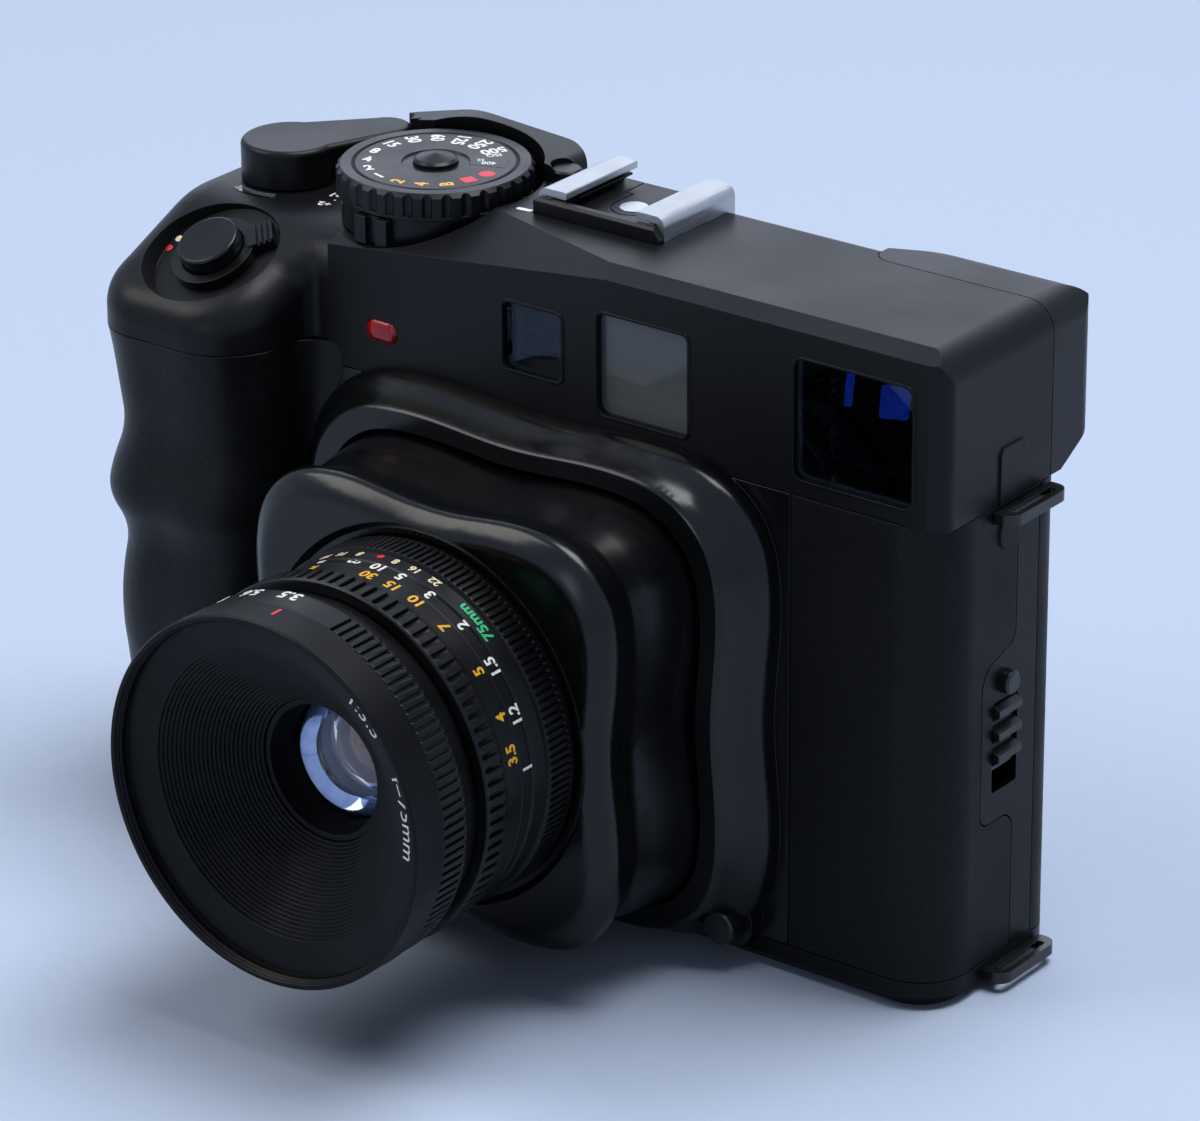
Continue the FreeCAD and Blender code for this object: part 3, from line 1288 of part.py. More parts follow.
def make_advance():
    """Advance lever, its shaft, counter disc and the winding train."""
    low = DECK_Z + LEVER_LIFT
    disc = upright(LEVER_R, LEVER_X, LEVER_Y, low, LEVER_TOP_Z)
    dx = LEVER_TIP_X - LEVER_X
    dy = LEVER_TIP_Y - LEVER_Y
    length = math.hypot(dx, dy)
    ux, uy = dx / length, dy / length
    points = (
        (LEVER_X - uy * (LEVER_R - 0.6), LEVER_Y + ux * (LEVER_R - 0.6)),
        (LEVER_TIP_X - uy * LEVER_TIP_R, LEVER_TIP_Y + ux * LEVER_TIP_R),
        (LEVER_TIP_X + uy * LEVER_TIP_R, LEVER_TIP_Y - ux * LEVER_TIP_R),
        (LEVER_X + uy * (LEVER_R - 0.6), LEVER_Y - ux * (LEVER_R - 0.6)),
    )
    blade = prism(plan_wire(points, (0, 0, 0, 0), LEVER_TOP_Z - 3.4), V(0, 0, 3.4))
    tip = upright(LEVER_TIP_R, LEVER_TIP_X, LEVER_TIP_Y, LEVER_TOP_Z - 3.4, LEVER_TOP_Z)
    lever = disc.fuse([blade, tip]).removeSplitter()
    top_edges = [
        e for e in lever.Edges if e.BoundBox.ZMin > LEVER_TOP_Z - 0.01 and e.BoundBox.ZMax < LEVER_TOP_Z + 0.01
    ]
    lever = lever.makeFillet(0.9, top_edges)
    shaft = upright(STEM_R, LEVER_X, LEVER_Y, CAST_TOP_Z + 3, low + 0.001)
    node("advance_lever", lever.fuse(shaft).removeSplitter())

    counter = upright(COUNTER_R, LEVER_X, LEVER_Y, DECK_Z - 4.4, DECK_Z - 3.4)
    counter = counter.cut(upright(STEM_R + SHAFT_GAP, LEVER_X, LEVER_Y, CAST_TOP_Z, DECK_Z + 1))
    node("counter_disc", counter)
    glass = counter_slot(-0.05, 1.0).common(box(-BEYOND, BEYOND, -BEYOND, BEYOND, 0, DECK_Z))
    node("counter_window", glass)


def make_release():
    """Release button in its turning collar with the ribbed tab."""
    axis = release_axis()
    seat = V(RELEASE_X, RELEASE_Y, RELEASE_Z)
    side = V(1, 0, 0)
    side = side - axis * side.dot(axis)
    side.normalize()
    angle = math.radians(RELEASE_TAB_TURN)
    side = side * math.cos(angle) + axis.cross(side) * math.sin(angle)
    lift = 0.2
    ring = Part.makeCylinder(RELEASE_RING_R, 1.6, seat + axis * lift, axis)
    root = RELEASE_RING_R - 1.2
    length = RELEASE_TAB_REACH - root
    tab = Part.makeBox(length, 2 * RELEASE_TAB_HALF, 1.9, V(0, -RELEASE_TAB_HALF, 0))
    ribs = []
    for i in range(3):
        groove_x = length - 0.9 - 0.95 * i
        ribs.append(Part.makeBox(0.5, 2 * RELEASE_TAB_HALF + 1, 0.6, V(groove_x, -RELEASE_TAB_HALF - 0.5, 1.4)))
    tab = tab.cut(ribs)
    turn = FreeCAD.Rotation(side, axis.cross(side), axis, "XYZ")
    tab.Placement = FreeCAD.Placement(seat + axis * lift + side * root, turn)
    ring = ring.fuse(tab).removeSplitter()
    ring = ring.cut(Part.makeCylinder(RELEASE_R + RUNNING_GAP, 5, seat - axis, axis))
    node("release_collar", ring)
    button = Part.makeCylinder(RELEASE_R, 3.0, seat + axis * 1.4, axis)
    button = button.makeFillet(0.5, [button.Edges[0]])
    stem = Part.makeCylinder(STEM_R, 6.0, seat - axis * 4.5, axis)
    node("release_button", button.fuse(stem).removeSplitter())


def make_small_buttons():
    """Battery check button, and the release of the collapsing mount."""
    check = upright(CHECK_R, CHECK_X, CHECK_Y, TOP_FLAT_Z - 4, TOP_FLAT_Z + 2.2)
    check = check.makeChamfer(0.3, [e for e in check.Edges if e.BoundBox.ZMin > TOP_FLAT_Z + 2])
    node("battery_check_button", check)
    button = rod(
        COLLAPSE_R,
        V(COLLAPSE_X, BODY_FRONT_Y - 6.4, COLLAPSE_Z),
        V(COLLAPSE_X, BODY_FRONT_Y + COVER_WALL - 0.2, COLLAPSE_Z),
    )
    button = button.makeFillet(0.4, [e for e in button.Edges if e.BoundBox.YMax < BODY_FRONT_Y - 6.3])
    node("collapse_button", button)


def make_door():
    """Back door with its hinge barrel, pressure plate and springs."""
    z0 = BASE_HEIGHT + SEAM_GAP
    z1 = LOWER_SEAM_Z
    left = HINGE_X + HINGE_R + RUNNING_GAP
    outer = plan_wire(
        (
            (BODY_RIGHT_X, BODY_REAR_Y),
            (left, BODY_REAR_Y),
            (left, DOOR_EDGE_Y),
            (BODY_RIGHT_X, DOOR_EDGE_Y),
        ),
        (DOOR_CORNER_R, 0, 0, 0),
        z0,
    )
    inner = plan_wire(
        (
            (BODY_RIGHT_X - DOOR_WALL, BODY_REAR_Y - DOOR_WALL),
            (left - 1, BODY_REAR_Y - DOOR_WALL),
            (left - 1, DOOR_EDGE_Y - 1),
            (BODY_RIGHT_X - DOOR_WALL, DOOR_EDGE_Y - 1),
        ),
        (DOOR_CORNER_R - DOOR_WALL, 0, 0, 0),
        z0 + DOOR_RIM,
    )
    door = prism(outer, V(0, 0, z1 - z0)).cut(prism(inner, V(0, 0, z1 - z0 - 2 * DOOR_RIM)))
    door = door.cut(box(left - 2, CAST_RIGHT_X + 0.4, 0, CAST_REAR_Y + 0.3, 0, 120))
    leaf = box(HINGE_X, left + 1.0, BODY_REAR_Y - DOOR_WALL + 0.2, BODY_REAR_Y - 0.5, z0, z1)
    barrel = upright(HINGE_R, HINGE_X, HINGE_Y, z0, z1)
    door = door.fuse([leaf, barrel]).removeSplitter()
    door = door.cut(upright(PIN_R + 0.05, HINGE_X, HINGE_Y, 0, 100))
    for z in (z0, (z0 + z1) / 2 - 5, z1 - 8):
        door = door.cut(upright(HINGE_R + RUNNING_GAP, HINGE_X, HINGE_Y, z - 0.3, z + 8.3).fuse(
            box(HINGE_X - 4, left, DOOR_EDGE_Y, BODY_REAR_Y + 1, z - 0.3, z + 8.3)))
    node("back_door", door)

    knuckles = []
    for z in (z0, (z0 + z1) / 2 - 5, z1 - 8):
        knuckle = upright(HINGE_R, HINGE_X, HINGE_Y, z, z + 8)
        web = box(CAST_LEFT_X - 3.5, CAST_LEFT_X, CAST_REAR_Y - 4, CAST_REAR_Y, z, z + 8)
        arm = box(HINGE_X - 1.0, HINGE_X + 1.0, CAST_REAR_Y - 1, HINGE_Y, z, z + 8)
        knuckles.append(knuckle.fuse([web, arm]).removeSplitter().cut(upright(PIN_R, HINGE_X, HINGE_Y, 0, 100)))
    node("hinge_brackets", Part.makeCompound(knuckles))
    node("hinge_pin", upright(PIN_R, HINGE_X, HINGE_Y, z0, z1))

    plate_y = CAST_REAR_Y + 0.4
    node(
        "pressure_plate",
        front_plate(-33, 33, AXIS_Z - 33, AXIS_Z + 33, 2.0, plate_y, plate_y + 1.0),
    )
    springs = []
    for z in (AXIS_Z - 16, AXIS_Z + 16):
        springs.append(box(-14, 14, plate_y + 1.0, BODY_REAR_Y - DOOR_WALL, z - 3, z + 3))
    node("pressure_springs", Part.makeCompound(springs))


def make_spools():
    """Take-up spool, its drive spindle and the lower spool pins."""
    bottom = CHAMBER_BOTTOM_Z + 0.5
    top = CHAMBER_TOP_Z - 3.0
    x = -CHAMBER_X
    core = upright(5.6, x, CHAMBER_Y, bottom, top)
    for z in (bottom, top - 1.2):
        core = core.fuse(upright(12.5, x, CHAMBER_Y, z, z + 1.2))
    core = core.cut(upright(2.6, x, CHAMBER_Y, bottom - 1, top + 1))
    core = core.cut(box(x - 8, x + 8, CHAMBER_Y - 0.7, CHAMBER_Y + 0.7, bottom + 6, top - 6)).removeSplitter()
    node("take_up_spool", core)
    spindle = upright(SPINDLE_R, x, CHAMBER_Y, top - 4, CAST_TOP_Z + 2.6)
    gear = upright(9.0, x, CHAMBER_Y, CAST_TOP_Z + 0.6, CAST_TOP_Z + 2.6)
    tooth = upright(0.9, x + 9.2, CHAMBER_Y, CAST_TOP_Z, CAST_TOP_Z + 3)
    gear = gear.cut(Part.makeCompound(around_upright(tooth, x, CHAMBER_Y, 24)))
    node("take_up_spindle", spindle.fuse(gear).removeSplitter())


def make_collar():
    """Sliding square collar that carries the lens, its flange and the bellows."""
    ridge = COLLAR_RIDGE_Y
    rear = COLLAR_REAR_Y
    w = COLLAR_HALF_W
    h = COLLAR_HALF_H
    outer = pillow_loft(
        (
            (rear, COLLAR_REAR_HALF_W, COLLAR_REAR_HALF_H),
            (rear - 4.0, COLLAR_REAR_HALF_W - 0.2, COLLAR_REAR_HALF_H - 0.1),
            (rear - 12.0, COLLAR_REAR_HALF_W - 1.6, COLLAR_REAR_HALF_H - 0.5),
            (ridge + 4.5, w - 1.0, h - 1.3),
            (ridge + 1.8, w - 0.2, h - 0.3),
            (ridge + 0.3, w - 0.4, h - 0.4),
            (ridge - 0.9, w - 1.4, h - 1.4),
            (ridge - 1.8, w - 2.7, h - 2.7),
            (ridge - 2.2, w - COLLAR_LIP, h - COLLAR_LIP),
        ),
        COLLAR_WAIST,
    )
    inner = pillow_loft(
        (
            (rear + 1.0, COLLAR_REAR_HALF_W - 2.2, COLLAR_REAR_HALF_H - 2.2),
            (rear - 12.0, COLLAR_REAR_HALF_W - 4.2, COLLAR_REAR_HALF_H - 2.8),
            (ridge + 1.0, w - 3.4, h - 3.4),
        ),
        0.02,
    )
    collar = outer.cut(inner)
    dish = turned(((ridge - 6, 0), (ridge - 6, 33.5), (ridge - 2.0, 31.4), (ridge - 1.4, 30.4), (ridge - 1.4, 0)))
    bore = rod(24.5, V(0, ridge - 8, AXIS_Z), V(0, rear + 3, AXIS_Z))
    collar = collar.cut([dish, bore]).removeSplitter()
    node("lens_collar", collar)
    flange = turned(((ridge - 2.0, 24.6), (ridge - 2.0, 28.5), (ridge - 1.4, 28.5), (ridge - 1.4, 24.6)))
    throat = turned(((ridge - 1.4, 23.2), (ridge - 1.4, 24.4), (ridge + 3.0, 24.4), (ridge + 3.0, 23.2)))
    node("mount_flange", flange.fuse(turned(((ridge - 2.0, 23.2), (ridge - 2.0, 24.7), (ridge - 1.4, 24.7), (ridge - 1.4, 23.2)))).fuse(throat).removeSplitter())

    front_y = ridge + 1.05
    rear_y = CAST_REAR_Y - GATE_FRAME - 0.05
    sizes = (
        (front_y, BELLOWS_FRONT_HALF, BELLOWS_FRONT_R),
        (rear - 6.0, BELLOWS_FRONT_HALF + 1.6, BELLOWS_FRONT_R - 1.0),
        (rear + 6.0, BELLOWS_FRONT_HALF + 2.0, BELLOWS_FRONT_R - 3.5),
        (rear_y, BELLOWS_REAR_HALF, BELLOWS_REAR_R),
    )
    outer_wires = []
    inner_wires = []
    for y, half, radius in sizes:
        outer_wires.append(front_wire(rectangle(-half, half, AXIS_Z - half, AXIS_Z + half), (radius,) * 4, y))
        thin = half - BELLOWS_SKIN
        radius -= BELLOWS_SKIN
        inner_wires.append(front_wire(rectangle(-thin, thin, AXIS_Z - thin, AXIS_Z + thin), (radius,) * 4, y))
    skin = Part.makeLoft(outer_wires, True, True).cut(Part.makeLoft(inner_wires, True, True))
    node("bellows", skin)


def knurled(ring, radius, y0, y1, count, width, depth, first=0.0):
    """A ring with grip grooves cut along the lens axis."""
    cutter = box(-width / 2, width / 2, y0, y1, AXIS_Z + radius - depth, AXIS_Z + radius + 1)
    return ring.cut(Part.makeCompound(around_lens(cutter, count, first)))


def make_lens():
    """The lens: fixed barrel, focusing ring, front barrel, aperture ring and front ring."""
    gap = RING_GAP
    flange_y = COLLAR_RIDGE_Y - 2.0
    barrel = turned(
        (
            (DEPTH_REAR_Y - 3.4, HELICOID_R + 0.3),
            (DEPTH_REAR_Y - 3.4, SCALE_R - 0.4),
            (DEPTH_REAR_Y, SCALE_R),
            (DEPTH_REAR_Y, MOUNT_RING_R),
            (MOUNT_RING_REAR_Y, MOUNT_RING_R),
            (flange_y - 0.05, 28.0),
            (flange_y - 0.05, 23.1),
            (COLLAR_RIDGE_Y + 3.0, 23.1),
            (COLLAR_RIDGE_Y + 12.0, 22.0),
            (COLLAR_RIDGE_Y + 12.0, 19.5),
            (flange_y - 1.0, 19.5),
            (flange_y - 1.6, HELICOID_R + 0.3),
        )
    )
    barrel = knurled(barrel, MOUNT_RING_R, DEPTH_REAR_Y + 0.5, MOUNT_RING_REAR_Y - 0.5, 72, 1.0, 0.7)
    node("lens_barrel", barrel)

    focus = turned(
        (
            (GAP_RING_REAR_Y + gap, HELICOID_R + 0.3),
            (GAP_RING_REAR_Y + gap, FOCUS_GRIP_R - 0.5),
            (GAP_RING_REAR_Y + gap + 0.5, FOCUS_GRIP_R),
            (FOCUS_GRIP_REAR_Y, FOCUS_GRIP_R),
            (FOCUS_GRIP_REAR_Y + 0.4, SCALE_R),
            (FOCUS_REAR_Y - gap + 0.2, SCALE_R),
            (FOCUS_REAR_Y - gap + 0.2, HELICOID_R + 0.3),
        )
    )
    focus = knurled(focus, FOCUS_GRIP_R, GAP_RING_REAR_Y + 1.1, FOCUS_GRIP_REAR_Y - 0.6, 60, 1.3, 0.7)
    node("focus_ring", focus)

    inner_r = SHUTTER_R + 0.6
    thread_floor = LENS_FRONT_Y + FILTER_DEPTH
    cone_end = GLASS_Y - 5.0
    cone_start_r = FILTER_THREAD_R - 1.6
    cone_end_r = CELL_R + 0.1
    cone_slope = (cone_start_r - cone_end_r) / (cone_end - thread_floor)
    back_r = cone_end_r + CONE_WALL + cone_slope * (cone_end - FRONT_RING_REAR_Y)
    taper = (back_r + 0.25 - inner_r) / cone_slope
    front_barrel = turned(
        (
            (FRONT_RING_REAR_Y + taper, inner_r),
            (FRONT_RING_REAR_Y, back_r + 0.25),
            (FRONT_RING_REAR_Y, 26.0),
            (APERTURE_REAR_Y + gap, 26.0),
            (APERTURE_REAR_Y + gap, 28.6),
            (GAP_RING_REAR_Y, 27.9),
            (GAP_RING_REAR_Y, HELICOID_R),
            (flange_y - 2.2, HELICOID_R),
            (flange_y - 2.2, inner_r),
        )
    )
    node("front_barrel", front_barrel)

    aperture = turned(
        (
            (FRONT_RING_REAR_Y + gap, 26.0 + 0.3),
            (FRONT_RING_REAR_Y + gap, APERTURE_R - 0.3),
            (FRONT_RING_REAR_Y + gap + 0.3, APERTURE_R),
            (APERTURE_REAR_Y - 0.3, APERTURE_R),
            (APERTURE_REAR_Y, APERTURE_R - 0.5),
            (APERTURE_REAR_Y, 26.0 + 0.3),
        )
    )
    cutter = box(
        -0.6, 0.6, FRONT_RING_REAR_Y + gap + 0.8, APERTURE_REAR_Y - 0.6, AXIS_Z + APERTURE_R - 0.7, AXIS_Z + APERTURE_R + 1
    )
    aperture = aperture.cut(Part.makeCompound(around_lens(cutter, 50, 30.0, 264.0)))
    node("aperture_ring", aperture)

    profile = [(LENS_FRONT_Y, FRONT_RING_R), (FRONT_RING_REAR_Y, FRONT_RING_R - 0.4)]
    profile.append((FRONT_RING_REAR_Y, back_r))
    profile.append((cone_end, cone_end_r + CONE_WALL))
    profile.append((cone_end, cone_end_r))
    for i in range(CONE_STEPS):
        share = i / CONE_STEPS
        following = (i + 1) / CONE_STEPS
        y_next = cone_end + (thread_floor - cone_end) * following
        profile.append((y_next, cone_end_r + (cone_start_r - cone_end_r) * share + 0.2))
        profile.append((y_next, cone_end_r + (cone_start_r - cone_end_r) * following))
    profile.append((thread_floor, FILTER_THREAD_R))
    profile.append((LENS_FRONT_Y, FILTER_THREAD_R))
    node("front_ring", turned(profile))

    cell = turned(
        (
            (cone_end + 0.05, CELL_R),
            (cone_end + 0.05, GLASS_R + 0.6),
            (GLASS_Y - 1.5, GLASS_R),
            (GLASS_Y + 6.0, GLASS_R),
            (GLASS_Y + 6.0, SHUTTER_R),
            (GLASS_Y + 1.0, SHUTTER_R),
            (GLASS_Y - 3.0, CELL_R + 1.8),
        )
    )
    node("front_cell", cell)
    ball = Part.makeSphere(20.0, V(0, GLASS_Y + 18.0, AXIS_Z))
    front_glass = ball.common(rod(GLASS_R, V(0, GLASS_Y - 6, AXIS_Z), V(0, GLASS_Y + 3, AXIS_Z)))
    shutter = turned(
        (
            (GLASS_Y + 6.1, 9.0),
            (GLASS_Y + 6.1, SHUTTER_R),
            (GLASS_Y + 13.0, SHUTTER_R),
            (GLASS_Y + 13.0, 9.0),
        )
    )
    blades = []
    for i in range(5):
        wedge = Part.makePolygon(
            [
                V(0, GLASS_Y + 9.0, AXIS_Z + 3.2),
                V(7.0, GLASS_Y + 9.0, AXIS_Z + 5.6),
                V(3.6, GLASS_Y + 9.0, AXIS_Z + 8.1),
                V(0, GLASS_Y + 9.0, AXIS_Z + 3.2),
            ]
        )
        leaf = Part.Face(wedge).extrude(V(0, 0.2 , 0))
        leaf.translate(V(0, 0.3 * i, 0))
        leaf.rotate(V(0, 0, AXIS_Z), V(0, 1, 0), 72 * i)
        blades.append(leaf)
    node("iris_blades", Part.makeCompound(blades))
    rear_ball = Part.makeSphere(24.0, V(0, GLASS_Y + 2.0, AXIS_Z))
    rear_glass = rear_ball.common(rod(9.0, V(0, GLASS_Y + 20.5, AXIS_Z), V(0, GLASS_Y + 30.0, AXIS_Z)))
    node("lens_elements", Part.makeCompound([front_glass, rear_glass]))
    rear_cell = turned(
        (
            (GLASS_Y + 13.0, 9.1),
            (GLASS_Y + 13.0, 12.5),
            (GLASS_Y + 27.0, 12.5),
            (GLASS_Y + 27.0, 9.1),
        )
    )
    node("shutter_unit", shutter.fuse(rear_cell).removeSplitter())


def main():
    """Build every sub-part and write one STEP file each."""
    make_casting()
    make_rollers()
    make_grip()
    make_front_cover()
    make_side_cover()
    make_latch()
    make_lugs()
    make_base()
    make_top_cover()
    make_finder()
    make_range_mirror()
    make_shoe()
    make_dial()
    make_advance()
    make_release()
    make_small_buttons()
    make_door()
    make_spools()
    make_collar()
    make_lens()
    os.makedirs("parts", exist_ok=True)
    for name, shape in NODES.items():
        shape.exportStep(os.path.join("parts", name + ".step"))
        print(f"{name:22s} solids {len(shape.Solids):2d} valid {shape.isValid()} cm3 {shape.Volume / 1000:.3f}")


main()
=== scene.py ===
"""Dressed scene of a medium format rangefinder camera on a pale studio floor."""
import json
import logging
import math
from collections.abc import Callable, Iterable, Sequence
from dataclasses import dataclass, field
from enum import Enum

import bpy
from mathutils import Matrix, Vector

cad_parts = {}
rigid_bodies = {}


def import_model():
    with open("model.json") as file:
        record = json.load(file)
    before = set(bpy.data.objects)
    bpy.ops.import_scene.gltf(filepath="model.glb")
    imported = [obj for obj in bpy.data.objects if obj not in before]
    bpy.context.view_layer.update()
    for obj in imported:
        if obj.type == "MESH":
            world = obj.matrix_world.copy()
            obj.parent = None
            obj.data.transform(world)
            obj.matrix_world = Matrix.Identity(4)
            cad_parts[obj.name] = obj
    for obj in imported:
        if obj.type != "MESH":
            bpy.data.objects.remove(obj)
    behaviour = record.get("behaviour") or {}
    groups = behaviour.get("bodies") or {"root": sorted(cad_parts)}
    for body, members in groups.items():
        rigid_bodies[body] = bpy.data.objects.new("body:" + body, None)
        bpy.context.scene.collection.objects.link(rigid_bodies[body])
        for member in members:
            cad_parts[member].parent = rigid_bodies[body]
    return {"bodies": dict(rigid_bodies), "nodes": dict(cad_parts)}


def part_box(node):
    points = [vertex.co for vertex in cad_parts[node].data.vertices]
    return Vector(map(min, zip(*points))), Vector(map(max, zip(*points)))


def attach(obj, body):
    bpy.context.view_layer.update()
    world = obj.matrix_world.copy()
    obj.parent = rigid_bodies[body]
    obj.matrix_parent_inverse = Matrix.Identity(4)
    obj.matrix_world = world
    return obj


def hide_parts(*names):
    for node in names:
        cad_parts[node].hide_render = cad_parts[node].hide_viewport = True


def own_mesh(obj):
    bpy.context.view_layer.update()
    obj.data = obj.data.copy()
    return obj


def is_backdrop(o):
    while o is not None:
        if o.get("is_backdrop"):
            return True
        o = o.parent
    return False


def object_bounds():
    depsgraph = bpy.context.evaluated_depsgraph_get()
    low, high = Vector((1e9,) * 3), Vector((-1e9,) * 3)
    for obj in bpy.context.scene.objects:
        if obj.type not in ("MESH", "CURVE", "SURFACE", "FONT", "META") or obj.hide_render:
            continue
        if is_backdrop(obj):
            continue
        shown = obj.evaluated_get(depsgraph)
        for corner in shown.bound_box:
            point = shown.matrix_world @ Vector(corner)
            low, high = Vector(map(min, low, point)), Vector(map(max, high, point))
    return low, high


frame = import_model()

LOG = logging.getLogger("camera")
Point = tuple[float, float, float]
Sheet = tuple[float, float]
Mapper = Callable[[float, float, float], Point]
Marks = tuple[tuple[str, float], ...]
Tree = bpy.types.NodeTree
Socket = bpy.types.NodeSocket
Inputs = dict[str | int, object]

MM = 0.001
LENS_AXIS = 43.0
DIAL_CENTRE = (-34.9, 0.7)
COUNTER_CENTRE = (-66.0, 1.5)
# Paint and figures start just under a surface and end just over it.
SUNK, PROUD = -0.02, 0.03
BACKDROP = "#bccbe6"
# An empty arc, for rings whose ribs go all the way round.
UNBROKEN: Sheet = (1.0, -1.0)


class Slot(Enum):
    """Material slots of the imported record."""

    SATIN_BLACK = "satin_black"
    ANODISED = "black_anodised"
    STEEL = "bright_steel"
    GLASS = "coated_glass"
    LAMP = "red_lamp"
    PLASTIC = "black_plastic"
    CLOTH = "bellows_cloth"
    WHITE = "white_paint"
    YELLOW = "yellow_paint"
    RED = "red_paint"
    GREEN = "green_paint"


class Turn(Enum):
    """Axes that turned parts are cut about: a point in mm and a direction."""

    LENS = ((0.0, 0.0, LENS_AXIS), (0.0, 1.0, 0.0))
    DIAL = ((*DIAL_CENTRE, 0.0), (0.0, 0.0, 1.0))
    LEVER = ((*COUNTER_CENTRE, 0.0), (0.0, 0.0, 1.0))
    RELEASE = ((-63.0, -21.8, 0.0), (0.0, 0.0, 1.0))


def linear(code: str) -> tuple[float, float, float, float]:
    """Turns an sRGB hex code into a linear colour.

    Args:
        code: colour such as "#17181a".

    Returns:
        Linear red, green, blue and an alpha of one.
    """
    parts = [int(code[i:i + 2], 16) / 255.0 for i in (1, 3, 5)]
    red, green, blue = (
        c / 12.92 if c <= 0.04045 else ((c + 0.055) / 1.055) ** 2.4 for c in parts
    )
    return red, green, blue, 1.0


def add_node(
    tree: Tree, kind: str, inputs: Inputs | None = None, **settings: object
) -> bpy.types.Node:
    """Adds a node, sets its options and fills or links its inputs.

    Args:
        tree: node tree that takes the node.
        kind: Blender's name of the node type.
        inputs: socket name or index, with a value or an output socket to link.
        settings: the node's own options.

    Returns:
        The new node.
    """
    node = tree.nodes.new(kind)
    for option, value in settings.items():
        setattr(node, option, value)
    for key, value in (inputs or {}).items():
        if isinstance(value, Socket):
            tree.links.new(value, node.inputs[key])
        else:
            node.inputs[key].default_value = value
    return node


def looked_at(tree: Tree) -> Socket:
    """Tells rays that show a surface from rays that light one.

    Args:
        tree: node tree that takes the nodes.

    Returns:
        1 for camera, glossy and transmission rays, 0 for the others.
    """
    path = add_node(tree, "ShaderNodeLightPath")
    seen = path.outputs["Is Camera Ray"]
    for name in ("Is Glossy Ray", "Is Transmission Ray"):
        either = {0: seen, 1: path.outputs[name]}
        seen = add_node(tree, "ShaderNodeMath", either, operation="MAXIMUM").outputs[0]
    return seen


